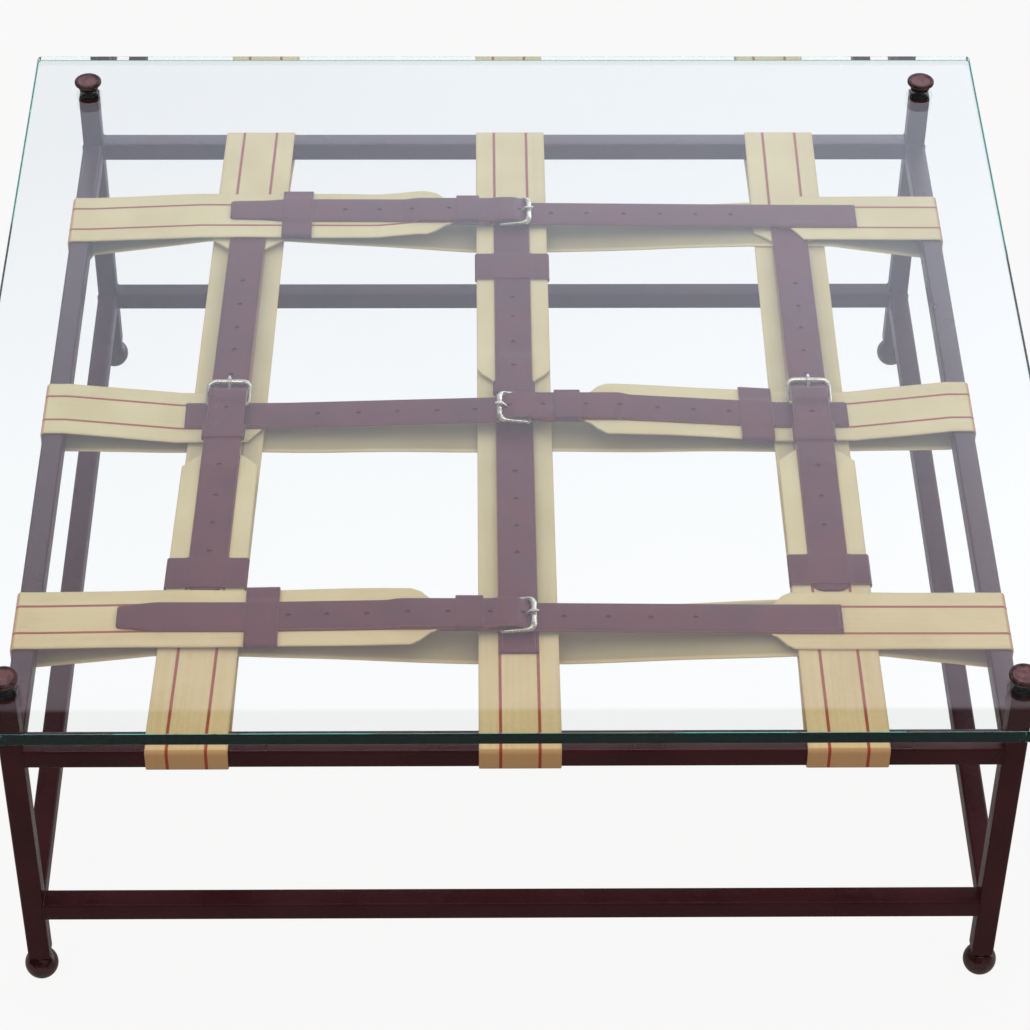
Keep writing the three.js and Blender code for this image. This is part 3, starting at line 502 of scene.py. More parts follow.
def thread_material():
    """Waxed linen thread, twisted."""
    shader = Shader("thread", (0.22, 0.12, 0.10), 0.6)
    shader.colour(shader.mix(shader.noise(shader.place(), 900.0), (0.16, 0.08, 0.07), (0.30, 0.17, 0.14)))
    return shader.material


def glass_material(name, dull, bright, gloss, clear):
    """Thick float glass: clear across its thickness and deep green along it. Lamps shine through it."""
    shader = Shader(name, bright, 0.0)
    shader.set("Transmission Weight", clear)
    shader.set("IOR", GLASS_INDEX)
    shader.set("Specular Tint", (*gloss, 1))
    shader.colour(shader.mix(shader.noise(shader.place(), 3.0), dull, bright))
    body = shader.node("ShaderNodeVolumeAbsorption", Color=(*GLASS_GREEN, 1), Density=GLASS_DENSITY)
    rays = shader.node("ShaderNodeLightPath").outputs
    light = shader.math("MAXIMUM", rays["Is Shadow Ray"], rays["Is Diffuse Ray"])
    let_through = shader.node("ShaderNodeBsdfTransparent")
    shader.show(Surface=shader.blend(light, shader.surface, let_through), Volume=body)
    return shader.material


def webbing_material(name, inner_shade, inner_line):
    """Cream cotton webbing in a ribbed plain weave, with two thin red lines along it, and painted shade
    along its edges, inside the loop and round the outside of the rails.
    """
    shader = Shader(name, (0.64, 0.46, 0.23), 0.85, gloss=0.2)
    shader.set("Sheen Weight", 0.12)
    shader.set("Sheen Roughness", 0.5)
    where, along, across = shader.cloth()
    warp = shader.math("SINE", shader.times(across, 2 * math.pi / WARP_PITCH))
    weft = shader.math("SINE", shader.times(along, 2 * math.pi / WEFT_PITCH))
    weave = shader.times(warp, weft)
    place = shader.place()
    spots = shader.parts(place)
    fibres = shader.noise(place, 240.0, 4.0)
    base = cotton_colour(shader, where, place, spots)
    base = shader.tint(base, shader.ramp(weave, -1, 1), 0.3, (0.52, 0.37, 0.17))
    base = shader.tint(base, fibres, 0.2, (0.80, 0.64, 0.40))
    side = shader.size(across)
    rim = WEBBING_WIDTH / 2
    # Painted shade: the webbing is darkened a little in a band along each edge.
    base = shader.tint(base, shader.ramp(side, rim - SELVEDGE, rim), 0.2, (0.42, 0.28, 0.12))
    # Painted shade: the faces on the inside of the loop, such as the top of the lower run under the upper
    # run, are darkened towards olive, all but a lit strip along each edge; inner_shade sets how much.
    inner_face_shade = shader.ramp(along, -STITCH_RADIUS, 0, inner_shade, 0.0)
    shade_clear_of_rim = shader.ramp(side, rim - SELVEDGE * 3 / 2, rim - SELVEDGE / 4, 1.0, 0.0)
    base = shader.tint(base, inner_face_shade, shade_clear_of_rim, (0.27, 0.23, 0.12))
    # Painted shade: the webbing is darkened to a warm brown where it wraps the outer faces of the rails.
    base = shader.tint(base, outer_wrap_shade(shader, spots), 0.85, (0.50, 0.265, 0.115))
    from_line = shader.size(shader.math("SUBTRACT", side, LINE_OFFSET))
    line = shader.ramp(from_line, LINE_WIDTH / 2 - LINE_BLUR[0], LINE_WIDTH / 2 + LINE_BLUR[1], 1.0, 0.0)
    line = shader.times(line, shader.ramp(along, -STITCH_RADIUS, 0, inner_line, 1.0))
    shader.colour(shader.tint(base, line, shader.ramp(weft, -1, 1, 0.78, 1.0), (0.31, 0.020, 0.014)))
    shader.bump(shader.math("ADD", weave, shader.times(fibres, 0.6)), 0.35, 0.0004)
    return shader.material


def cotton_colour(shader, where, place, spots):
    """Cream that is clouded, more ochre at the front, and streaked along the strip."""
    clouds = shader.noise(place, 14.0)
    # The colour goes from cream at the back to ochre at the front.
    toward_front = shader.ramp(spots[1], -HALF_SPAN, -HALF_SPAN / 3, 1.0, 0.0)
    dull = shader.mix(toward_front, (0.655, 0.545, 0.30), (0.645, 0.455, 0.215))
    fair = shader.mix(toward_front, (0.735, 0.635, 0.375), (0.715, 0.53, 0.27))
    stretched = shader.node("ShaderNodeVectorMath", Vector=where)
    stretched.operation = "MULTIPLY"
    stretched.inputs[1].default_value = (3.0, 210.0, 0.0)
    streaks = shader.noise(stretched.outputs[0], 1.0, 2.0, 0.35, 0.65)
    return shader.tint(shader.mix(clouds, dull, fair), streaks, 0.22, (0.80, 0.70, 0.48))


def outer_wrap_shade(shader, spots):
    """How much painted shade darkens and warms the webbing where it goes round the outside of the rails."""
    reach = shader.math("MAXIMUM", shader.size(spots[0]), shader.size(spots[1]))
    outer = HALF_SPAN + TUBE / 2
    return shader.ramp(reach, outer - WEBBING_THICKNESS, outer)


def leather_material():
    """Dark brown bridle leather: fine grain, a crease beside each edge, and lighter burnished edges."""
    shader = Shader("bridle_leather", (0.09, 0.012, 0.022), 0.35, gloss=0.36)
    place = shader.place()
    clouds = shader.noise(place, 22.0, 4.0)
    base = shader.mix(clouds, (0.070, 0.008, 0.015), (0.120, 0.018, 0.029))
    grain = shader.node("ShaderNodeTexVoronoi", Vector=place, Scale=1300.0)
    pores = shader.ramp(grain.outputs["Distance"], 0.1, 0.6)
    base = shader.tint(base, pores, 0.25, (0.16, 0.036, 0.05))
    base = shader.tint(base, shader.noise(place, 60.0, 5.0, 0.58, 0.75), 0.35, (0.19, 0.06, 0.075))
    side = shader.size(shader.cloth()[2])
    rim = STRAP_WIDTH / 2
    from_crease = shader.size(shader.math("SUBTRACT", side, rim - CREASE_MARGIN))
    crease = shader.ramp(from_crease, CREASE_WIDTH / 2, CREASE_WIDTH, 1.0, 0.0)
    base = shader.tint(base, crease, 0.5, (0.025, 0.007, 0.009))
    paint = shader.ramp(side, rim - EDGE_PAINT, rim - EDGE_PAINT / 4)
    shader.colour(shader.tint(base, paint, 0.75, (0.20, 0.06, 0.045)))
    shader.roughness(clouds, 0.36, 0.48)
    shader.bump(shader.math("SUBTRACT", shader.times(pores, 0.35), shader.times(crease, 2.0)), 0.06, 0.0003)
    return shader.material


def floor_material():
    """A white studio floor: what looks at it sees white with the shadows laid in softly."""
    shader = Shader("floor", FLOOR_COLOUR, 0.9, gloss=0.0)
    where = shader.place()
    low = tuple(channel * FLOOR_CLOUDS for channel in FLOOR_COLOUR)
    shader.colour(shader.mix(shader.noise(where, 1.5), low, FLOOR_COLOUR))
    rays = shader.node("ShaderNodeLightPath").outputs
    through_glass = rays["Is Transmission Ray"]
    straight = shader.math("MAXIMUM", rays["Is Camera Ray"], through_glass)
    seen = shader.math("MAXIMUM", straight, shader.times(rays["Is Glossy Ray"], FLOOR_GLOSS_SHARE))
    # Painted light and shade: seen through the glass, the floor glows a little brighter at the front and
    # middle and dimmer towards the back.
    painted_glow = shader.ramp(shader.parts(where)[1], 0, FLOOR_FAR,
                       FLOOR_THROUGH_GLASS, FLOOR_THROUGH_GLASS - FLOOR_FAR_SHADE)
    strength = shader.math("MULTIPLY_ADD", through_glass, painted_glow, 1.0)
    glow = shader.node("ShaderNodeEmission", Color=(*FLOOR_WHITE, 1), Strength=strength)
    shader.show(Surface=shader.blend(shader.times(seen, FLOOR_GLOW_SHARE), shader.surface, glow))
    return shader.material


def make_floor():
    mesh = bpy.data.meshes.new("floor")
    reach = FLOOR_REACH
    mesh.from_pydata([(-reach, -reach, 0), (reach, -reach, 0), (reach, reach, 0), (-reach, reach, 0)],
                     [], [(0, 1, 2, 3)])
    mesh.materials.append(floor_material())
    floor = new_object("floor", mesh)


def make_light():
    """Soft light from all round, stronger from above, and a white backdrop that gloss and glass show."""
    world = bpy.data.worlds.new("studio")
    bpy.context.scene.world = world
    world.use_nodes = True
    world.node_tree.nodes.clear()
    sky = Nodes(world.node_tree)
    right, back, up = sky.parts(sky.node("ShaderNodeTexCoord").outputs["Generated"])
    strength = sky.math("MULTIPLY_ADD", sky.math("MAXIMUM", up, 0.0), SKY_UP, SKY_BASE)
    strength = sky.math("MULTIPLY_ADD", back, SKY_BACK, strength)
    light = sky.node("ShaderNodeBackground", Color=(*SKY_COLOUR, 1), Strength=strength)
    steepness = sky.math("ARCTAN2", up, back)
    rise = sky.ramp(steepness, BACKDROP_LOW, BACKDROP_TOP)
    above = sky.ramp(steepness, BACKDROP_TOP - BACKDROP_FADE, BACKDROP_TOP + BACKDROP_FADE)
    ceiling = sky.mix(sky.ramp(up, SKYLIGHT_FROM, SKYLIGHT_TO), CEILING_COLOUR, SKYLIGHT_COLOUR)
    backdrop = sky.mix(above, sky.mix(rise, BACKDROP_BRIGHT, BACKDROP_DIM), ceiling)
    sideways = sky.math("MULTIPLY_ADD", right, BACKDROP_RIGHT, 1.0)
    mirrored = sky.node("ShaderNodeBackground", Color=backdrop, Strength=sideways)
    white = sky.node("ShaderNodeBackground", Color=(1, 1, 1, 1), Strength=1.0)
    rays = sky.node("ShaderNodeLightPath").outputs
    turned_back = sky.math("MINIMUM", rays["Glossy Depth"], rays["Is Glossy Ray"])
    seen = sky.math("MAXIMUM", rays["Is Camera Ray"], rays["Is Glossy Ray"])
    shown = sky.blend(turned_back, sky.blend(seen, light, white), mirrored)
    sky.link(shown.outputs[0], sky.node("ShaderNodeOutputWorld").inputs["Surface"])


# Meshes. A shape is (points, faces, uv per face corner or None, material index per face or None).

def tidy_mesh(mesh):
    work = bmesh.new()
    work.from_mesh(mesh)
    bmesh.ops.recalc_face_normals(work, faces=work.faces)
    work.to_mesh(mesh)
    work.free()
    mesh.shade_smooth()
    mesh.set_sharp_from_angle(angle=SMOOTH_ANGLE)


def add_piece(name, shape, materials, nodes=(), body="table"):
    points, faces, corners, indices = shape
    mesh = bpy.data.meshes.new(name)
    mesh.from_pydata([tuple(p) for p in points], [], faces)
    if corners:
        layer = mesh.uv_layers.new(name="cloth")
        layer.uv.foreach_set("vector", [x for corner in corners for x in corner])
    for material in materials:
        mesh.materials.append(material)
    if indices:
        mesh.polygons.foreach_set("material_index", indices)
    tidy_mesh(mesh)
    piece = new_object(name, mesh)
    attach(piece, body)
    if nodes:
        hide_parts(*nodes)
    return piece


def cut_away(piece, shape):
    """Cuts a closed shape out of a piece, and leaves the result as the piece's own mesh."""
    points, faces, _, _ = shape
    mesh = bpy.data.meshes.new("cutter")
    mesh.from_pydata([tuple(p) for p in points], [], faces)
    tidy_mesh(mesh)
    cutter = new_object("cutter", mesh)
    modifier = piece.modifiers.new("cut", "BOOLEAN")
    modifier.object = cutter
    modifier.operation = "DIFFERENCE"
    modifier.solver = "EXACT"
    bpy.context.view_layer.update()
    depsgraph = bpy.context.evaluated_depsgraph_get()
    result = bpy.data.meshes.new_from_object(piece.evaluated_get(depsgraph))
    piece.modifiers.clear()
    piece.data = result
    bpy.data.objects.remove(cutter)


def join_shapes(shapes):
    points, faces, corners, indices = [], [], [], []
    for shape_points, shape_faces, shape_corners, shape_indices in shapes:
        base = len(points)
        points += shape_points
        faces += [tuple(base + i for i in face) for face in shape_faces]
        corners += shape_corners or []
        indices += shape_indices or []
    return points, faces, corners or None, indices or None


def moved(shape, matrix):
    return [matrix @ Vector(p) for p in shape[0]], *shape[1:]


def rounded(corners, closed=False):
    """Rounds the corners (p, q, half, radius) of a path in a plane; gives points (p, q, half)."""
    path = []
    count = len(corners)
    for index, (p, q, half, radius) in enumerate(corners):
        here = Vector((p, q))
        back = Vector(corners[index - 1][:2]) - here
        ahead = Vector(corners[(index + 1) % count][:2]) - here
        room = min(back.length, ahead.length) / 2
        back.normalize()
        ahead.normalize()
        turn = math.pi - math.acos(max(-1.0, min(1.0, back.dot(ahead))))
        is_end = not closed and index in (0, count - 1)
        if not radius or is_end or turn < STRAIGHT_TURN:
            path.append((p, q, half))
            continue
        cut = min(radius * math.tan(turn / 2), room)
        curve = cut / math.tan(turn / 2)
        centre = here + (back + ahead).normalized() * math.hypot(cut, curve)
        start = here + back * cut - centre
        first = math.atan2(start.y, start.x)
        side = math.copysign(1, ahead.x * back.y - ahead.y * back.x)
        steps = max(2, math.ceil(turn * TURN_STEPS / math.pi))
        for step in range(steps + 1):
            angle = first + side * turn * step / steps
            path.append((centre.x + curve * math.cos(angle), centre.y + curve * math.sin(angle), half))
    return path


def divided(path, longest):
    fine = [path[0]]
    for here, ahead in zip(path, path[1:]):
        steps = max(1, math.ceil(math.dist(here[:2], ahead[:2]) / longest))
        for step in range(1, steps + 1):
            fine.append(tuple(a + (b - a) * step / steps for a, b in zip(here, ahead)))
    return fine


def flat_section(half, thickness, edge, columns, crown=0.0):
    """Points (v, w) round the section of a flat strip with rounded edges and a crowned upper face."""
    side = half - edge
    flank = thickness / 2 - edge
    quarter = ARC_STEPS // 2
    upper = [(-side + 2 * side * column / columns, thickness / 2) for column in range(columns + 1)]
    turn = []
    for step in range(1, quarter + 1):
        angle = math.pi / 2 * (1 - step / quarter)
        turn.append((side + edge * math.cos(angle), flank + edge * math.sin(angle)))
    for step in range(0 if flank else 1, quarter):
        angle = -math.pi / 2 * step / quarter
        turn.append((side + edge * math.cos(angle), -flank + edge * math.sin(angle)))
    crowned = [(v, w + crown * (1 - (v / half) ** 2)) for v, w in upper]
    return crowned + turn + [(-v, -w) for v, w in upper + turn]


def flat(*sizes):
    """The section of a flat strip of these sizes, for strip()."""
    return lambda index, length, half: flat_section(half, *sizes)


def path_normal(path, index, closed):
    """The direction square to a path at a point, longer where the path bends."""
    p, q = path[index][:2]
    back = path[index - 1] if closed or index else path[0]
    ahead = path[(index + 1) % len(path)] if closed or index < len(path) - 1 else path[-1]
    before = Vector((p - back[0], q - back[1]))
    after = Vector((ahead[0] - p, ahead[1] - q))
    before.normalize()
    after.normalize()
    along = (before + after).normalized()
    spread = 1 / max(along.dot(before if before.length else after), MITRE_LIMIT)
    return Vector((-along.y, along.x)) * spread


def strip(path, section_at, closed=False):
    """Sweeps a section along a path (p, q, half) in the plane of p and q; gives points (p, v, q).

    The faces on the inner side carry negative lengths.
    """
    count = len(path)
    lengths = [0.0]
    for here, ahead in zip(path, [*path[1:], path[0]]):
        lengths.append(lengths[-1] + math.dist(here[:2], ahead[:2]))
    points, across, inner = [], [], []
    for index, (p, q, half) in enumerate(path):
        normal = path_normal(path, index, closed)
        section = section_at(index, lengths[index], half)
        points += [(p + normal.x * w, v, q + normal.y * w) for v, w in section]
        across.append([v for v, _ in section])
        inner.append([w < 0 for _, w in section])
    around = len(across[0])
    faces, corners = [], []
    for index in range(count if closed else count - 1):
        ahead = (index + 1) % count
        for step in range(around):
            turned = (step + 1) % around
            faces.append((index * around + step, ahead * around + step,
                          ahead * around + turned, index * around + turned))
            sign = -1 if inner[index][step] and inner[index][turned] else 1
            near, far = sign * lengths[index], sign * lengths[index + 1]
            corners += [(near, across[index][step]), (far, across[ahead][step]),
                        (far, across[ahead][turned]), (near, across[index][turned])]
    if not closed:
        for index, order in ((0, range(around)), (count - 1, range(around - 1, -1, -1))):
            faces.append(tuple(index * around + step for step in order))
            corners += [(lengths[index], across[index][step]) for step in order]
    return points, faces, corners, None


def ring_faces(count, around, closed=False):
    """Faces between rings of points, and over both ends unless the row of rings is closed."""
    faces = []
    for ring in range(count if closed else count - 1):
        near, far = ring * around, (ring + 1) % count * around
        for step in range(around):
            turned = (step + 1) % around
            faces.append((near + step, near + turned, far + turned, far + step))
    if not closed:
        faces += [tuple(range(around)), tuple(range((count - 1) * around, count * around))]
    return faces


def lathe(corners, material_at=lambda radius, height: 0):
    """Turns a profile (radius, height, fillet) round Z; its ends lie on the axis."""
    profile = rounded([(radius, height, 0, fillet) for radius, height, fillet in corners])
    inner = [(radius, height) for radius, height, _ in profile[1:-1]]
    points = [(0, 0, profile[0][1])]
    for radius, height in inner:
        for step in range(ROUND_STEPS):
            angle = 2 * math.pi * step / ROUND_STEPS
            points.append((radius * math.cos(angle), radius * math.sin(angle), height))
    points.append((0, 0, profile[-1][1]))
    top = 1 + (len(inner) - 1) * ROUND_STEPS
    faces, indices = [], []
    for step in range(ROUND_STEPS):
        turned = (step + 1) % ROUND_STEPS
        faces.append((0, 1 + turned, 1 + step))
        for low in range(1, top, ROUND_STEPS):
            high = low + ROUND_STEPS
            faces.append((low + step, low + turned, high + turned, high + step))
        faces.append((top + step, top + turned, len(points) - 1))
        indices += [0, *(material_at(*place) for place in inner)]
    return points, faces, None, indices


def rod(centre_line, radius, sides, closed):
    """A round rod along points in space; radius is one number or one for each point."""
    count = len(centre_line)
    radii = radius if isinstance(radius, list) else [radius] * count
    points = []
    side = None
    for index, here in enumerate(centre_line):
        back = centre_line[index - 1] if closed or index else here
        ahead = centre_line[(index + 1) % count] if closed or index < count - 1 else here
        along = ((here - back).normalized() + (ahead - here).normalized()).normalized()
        if side is None:
            side = along.orthogonal().normalized()
        side = (side - along * side.dot(along)).normalized()
        other = along.cross(side)
        for step in range(sides):
            angle = 2 * math.pi * (step + 0.5) / sides
            offset = side * math.cos(angle) + other * math.sin(angle)
            points.append(here + offset * radii[index])
    return points, ring_faces(count, sides, closed), None, None


# Frame

def rounded_square(side, radius):
    half = side / 2
    corners = [(half, half, 0, radius), (-half, half, 0, radius), (-half, -half, 0, radius),
               (half, -half, 0, radius)]
    return [(p, q) for p, q, _ in rounded(corners, closed=True)]


def lifter(centre, axis):
    """Puts a place (p, q) of a bar's section at a level of the bar's axis."""
    others = [a for a in range(3) if a != axis]

    def lifted(p, q, level):
        point = Vector((0, 0, 0))
        point[axis] = level
        point[others[0]] = centre[others[0]] + p
        point[others[1]] = centre[others[1]] + q
        return point

    return lifted


def bar_shape(low, high, axis):
    """A square tube between two levels of one axis. The top face of an upper rail has material 1."""
    outline = rounded_square(TUBE, TUBE_CORNER)
    lifted = lifter((low + high) / 2, axis)
    points = [lifted(p, q, level) for level in (low[axis], high[axis]) for p, q in outline]
    brink = TUBE / 2 - GAP
    is_upper_rail = axis < 2 and low.z > RAIL_INSIDE / 2
    upper = [int(is_upper_rail and min(here[1], ahead[1]) > brink)
             for here, ahead in zip(outline, [*outline[1:], outline[0]])]
    return points, ring_faces(2, len(outline)), None, [*upper, 0, 0]


def make_rail(name, lacquer, upper_lacquer):
    """A rail with the weld beads at its ends."""
    low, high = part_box(name)
    axis = 0 if high.x - low.x > high.y - low.y else 1
    lifted = lifter((low + high) / 2, axis)
    bead_line = rounded_square(TUBE + WELD_RADIUS / 2, TUBE_CORNER)
    shapes = [bar_shape(low, high, axis)]
    for level in (low[axis] - GAP, high[axis] + GAP):
        bead = [lifted(p, q, level) for p, q in bead_line]
        points, faces, _, _ = rod(bead, WELD_RADIUS, ROD_SIDES // 2, True)
        shapes.append((points, faces, None, [0] * len(faces)))
    add_piece("tube_" + name, join_shapes(shapes), [lacquer, upper_lacquer], [name])


def make_leg(name, lacquer, rubber):
    low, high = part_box(name)
    high.z -= SEAT_HEIGHT
    add_piece("post_" + name, bar_shape(low, high, 2), [lacquer], [name])
    radius = SEAT_DIAMETER / 2
    seat = lathe([(0, 0, 0), (radius, 0, SEAT_HEIGHT / 4), (radius, SEAT_HEIGHT, SEAT_HEIGHT / 4),
                  (0, SEAT_HEIGHT, 0)])
    spot = Matrix.Translation(((low.x + high.x) / 2, (low.y + high.y) / 2, high.z))
    add_piece("seat_" + name, moved(seat, spot), [rubber])


def make_frame(lacquer, upper_lacquer, rubber):
    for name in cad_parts:
        if "_rail_" in name:
            make_rail(name, lacquer, upper_lacquer)
        if name.startswith("leg_"):
            make_leg(name, lacquer, rubber)


def foot_shape():
    radius = BALL_DIAMETER / 2
    collar = COLLAR_DIAMETER / 2
    stud = STUD_DIAMETER / 2
    lowest = math.asin(-BALL_CENTRE / radius)
    highest = math.acos(collar / radius)
    ball = [(radius * math.cos(lowest), 0, 0)]
    for step in range(1, TURN_STEPS + 1):
        angle = lowest + (highest - lowest) * step / TURN_STEPS
        ball.append((radius * math.cos(angle), BALL_CENTRE + radius * math.sin(angle), 0))
    lip = FOOT_HEIGHT - COLLAR_LIP * 4
    return lathe([
        (0, 0, 0), *ball, (collar - COLLAR_LIP, ball[-1][1], 0), (collar - COLLAR_LIP, lip, 0),
        (collar, lip, COLLAR_LIP / 2), (collar, FOOT_HEIGHT, COLLAR_LIP / 2), (stud, FOOT_HEIGHT, 0),
        (stud, FOOT_HEIGHT + FOOT_STUD, 0), (0, FOOT_HEIGHT + FOOT_STUD, 0),
    ])


def knob_shapes():
    """Head and neck of a knob, above the top face of the glass."""
    head = HEAD_DIAMETER / 2
    neck = NECK_DIAMETER / 2
    stud = STUD_DIAMETER / 2
    under = GAP + NECK_HEIGHT
    top = under + HEAD_THICKNESS
    edge = HEAD_THICKNESS / 4
    dish = head - HEAD_RIM
    floor = top - DISH_DEPTH
    on_top = lathe([
        (0, under, 0), (head - edge, under, 0), (head, under + edge, edge), (head, top - edge, edge),
        (head - edge, top, edge), (dish, top, DISH_DEPTH), (dish - DISH_DEPTH, floor, DISH_DEPTH),
        (dish / 3, floor, DISH_DEPTH), (0, floor - GAP, 0),
    ], lambda radius, height: int(height > top - DISH_DEPTH * 2 and radius < dish))
    groove = under / 2
    return on_top, lathe([
        (0, -KNOB_STUD, 0), (stud, -KNOB_STUD, 0), (stud, GAP, 0), (neck, GAP, NECK_GROOVE / 2),
        (neck, groove - NECK_GROOVE, NECK_GROOVE / 2), (neck - NECK_GROOVE, groove, 0),
        (neck, groove + NECK_GROOVE, NECK_GROOVE / 2), (neck, under, 0), (0, under, 0),
    ])


def make_turned_pieces(rim, dish, foot, rubber):
    head, neck = knob_shapes()
    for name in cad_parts:
        low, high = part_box(name)
        middle = (low + high) / 2
        if name.startswith("knob_"):
            spot = Matrix.Translation((middle.x, middle.y, glass_high.z))
            body = name + "_body"
            add_piece("head_" + name, moved(head, spot), [rim, dish], [name], body)
            add_piece("neck_" + name, moved(neck, spot), [rubber], body=body)
        if name.startswith("foot_"):
            spot = Matrix.Translation((middle.x, middle.y, 0))
            add_piece("ball_" + name, moved(foot_shape(), spot), [foot], [name])


def bevelled_plate(half, low, high):
    work = bmesh.new()
    bmesh.ops.create_cube(work, size=1.0)
    bmesh.ops.scale(work, vec=Vector((half * 2, half * 2, high - low)), verts=work.verts)
    bmesh.ops.translate(work, vec=(0, 0, (high + low) / 2), verts=work.verts)
    for upright, offset, segments in ((True, GLASS_CORNER, CORNER_SEGMENTS),
                                      (False, GLASS_BEVEL, BEVEL_SEGMENTS)):
        edges = [e for e in work.edges
                 if (abs(e.verts[0].co.z - e.verts[1].co.z) > GLASS_BEVEL) == upright]
        bmesh.ops.bevel(work, geom=edges, offset=offset, segments=segments, affect="EDGES", profile=0.5)
    mesh = bpy.data.meshes.new("glass_plate")
    work.to_mesh(mesh)
    work.free()
    return mesh


def make_glass(glass, edge):
    """The glass top with polished bevels and four drilled holes."""
    half = glass_high.x
    height = glass_high.z - glass_low.z
    plate = new_object("glass_plate", bevelled_plate(half, glass_low.z, glass_high.z))
    drills = []
    for x in (-HALF_SPAN, HALF_SPAN):
        for y in (-HALF_SPAN, HALF_SPAN):
            line = [Vector((x, y, glass_low.z - height)), Vector((x, y, glass_high.z + height))]
            drills.append(rod(line, GLASS_HOLE / 2, ROUND_STEPS, False))
    cut_away(plate, join_shapes(drills))
    plate.data.materials.clear()
    plate.data.materials.append(glass)
    plate.data.materials.append(edge)
    for face in plate.data.polygons:
        reach = max(abs(face.center.x), abs(face.center.y))
        face.material_index = int(reach > half - GLASS_CORNER and abs(face.normal.z) < GLASS_FLAT)
    plate.data.shade_flat()
    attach(plate, "table")
    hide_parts("glass_top")


# Loops of webbing and their belts

def at(loop, name):
    """A place along a loop, in metres from its middle."""
    return loop[name] * HALF_SPAN


def level_at(knots, place):
    knots = sorted(knots)
    if place <= knots[0][0]:
        return knots[0][1]
    for (left, low), (right, high) in zip(knots, knots[1:]):
        if place <= right:
            return low + (high - low) * (place - left) / (right - left)
    return knots[-1][1]


def chape_end(loop):
    return at(loop, "free_full") - CHAPE_LAP


def top_knots(loop):
    """Knots (place, level) of the webbing's two top runs, the free one and the sewn one."""
    far = [(share * HALF_SPAN, level) for share, level in loop["over"]]
    free = [(-RAIL_INSIDE, RAIL_LEVEL)] + [k for k in far if k[0] < 0]
    free += [(place, loop["bar_level"]) for place in (chape_end(loop), at(loop, "bar") - WEBBING_TUCK)]
    sewn = [(at(loop, "narrow") - WEBBING_TUCK, loop["sewn_level"])] + [k for k in far if k[0] > 0]
    return free, sewn + [(RAIL_INSIDE, RAIL_LEVEL)]


def loop_matrix(loop):
    offset = Vector((0, 0, RAIL_HEIGHT))
    offset[loop["axis"]] = at(loop, "middle")
    shear = Matrix.Identity(4)
    shear[1][0] = loop["skew"]
    return Matrix.Translation(offset) @ Matrix.Rotation(loop["turn"], 4, "Z") @ shear


def webbing_path(loop):
    free, sewn = top_knots(loop)
    full = WEBBING_WIDTH / 2
    end = WEBBING_END_WIDTH / 2
    outside = HALF_SPAN + RAIL_LEVEL

    def taper(knots, name, half):
        return at(loop, name), level_at(knots, at(loop, name)), half, 0

    def bends(knots, radius=BEND_RADIUS):
        return [(*knot, full, radius) for knot in knots]

    below = [(share * HALF_SPAN, level) for *shares, level in loop["under"] for share in shares]
    return divided(rounded([
        (*sewn[0], end, 0), taper(sewn, "narrow", end), taper(sewn, "full", full), *bends(sewn[1:]),
        *bends([(outside, RAIL_LEVEL), (outside, -RAIL_LEVEL)], WRAP_RADIUS),
        *bends([(RAIL_INSIDE, -RAIL_LEVEL), *below[::-1], (-RAIL_INSIDE, -RAIL_LEVEL)]),
        *bends([(-outside, -RAIL_LEVEL), (-outside, RAIL_LEVEL)], WRAP_RADIUS),
        *bends(free[:-1]), taper(free, "free_full", full), taper(free, "free_narrow", end),
        (*free[-1], end, 0),
    ]), WEBBING_STEP)


def side_shift(loop, place):
    """How far the free run of the webbing lies beside the tongue's middle."""
    start = chape_end(loop)
    return level_at([(start - SHIFT_LENGTH, loop["aside"]), (start, 0.0)], place)


def webbing_shape(loop):
    """The woven band: soft edges that curl a little, and rolled shoulders where it narrows."""
    full = WEBBING_WIDTH / 2
    end = WEBBING_END_WIDTH / 2
    path = []
    rolls = []
    for p, q, half in webbing_path(loop):
        share = (half - end) / (full - end)
        path.append((p, q, end + (full - end) * share * share * (3 - 2 * share)))
        rolls.append(WEBBING_ROLL * 4 * share * (1 - share))
    phase = loop["middle"] * CURL_PHASE

    def section(index, length, half):
        calm = max(0.0, 1 - abs(path[index][0]) / RAIL_INSIDE)
        wave = math.sin(length * 2 * math.pi / CURL_LENGTH + phase)
        sway = WEBBING_CURL * min(1.0, calm * CURL_ONSET) * wave
        shaped = []
        for v, w in flat_section(half, WEBBING_THICKNESS, WEBBING_THICKNESS / 2, WEBBING_COLUMNS):
            out = (abs(v) / half) ** CURL_POWER
            rise = rolls[index] * max(0.0, out * 2 - 1) if w > 0 else 0.0
            shaped.append((v, w + sway * out * (1 if v > 0 else CURL_OTHER_SIDE) + rise))
        return shaped

    points, faces, corners, _ = strip(path, section)
    around = len(points) // len(path)
    first = next(index for index, (p, _, _) in enumerate(path) if p < -RAIL_INSIDE)
    shifts = [side_shift(loop, p) if index >= first else 0.0 for index, (p, _, _) in enumerate(path)]
    points = [(x, v + shifts[index // around], z) for index, (x, v, z) in enumerate(points)]
    return points, faces, corners, None


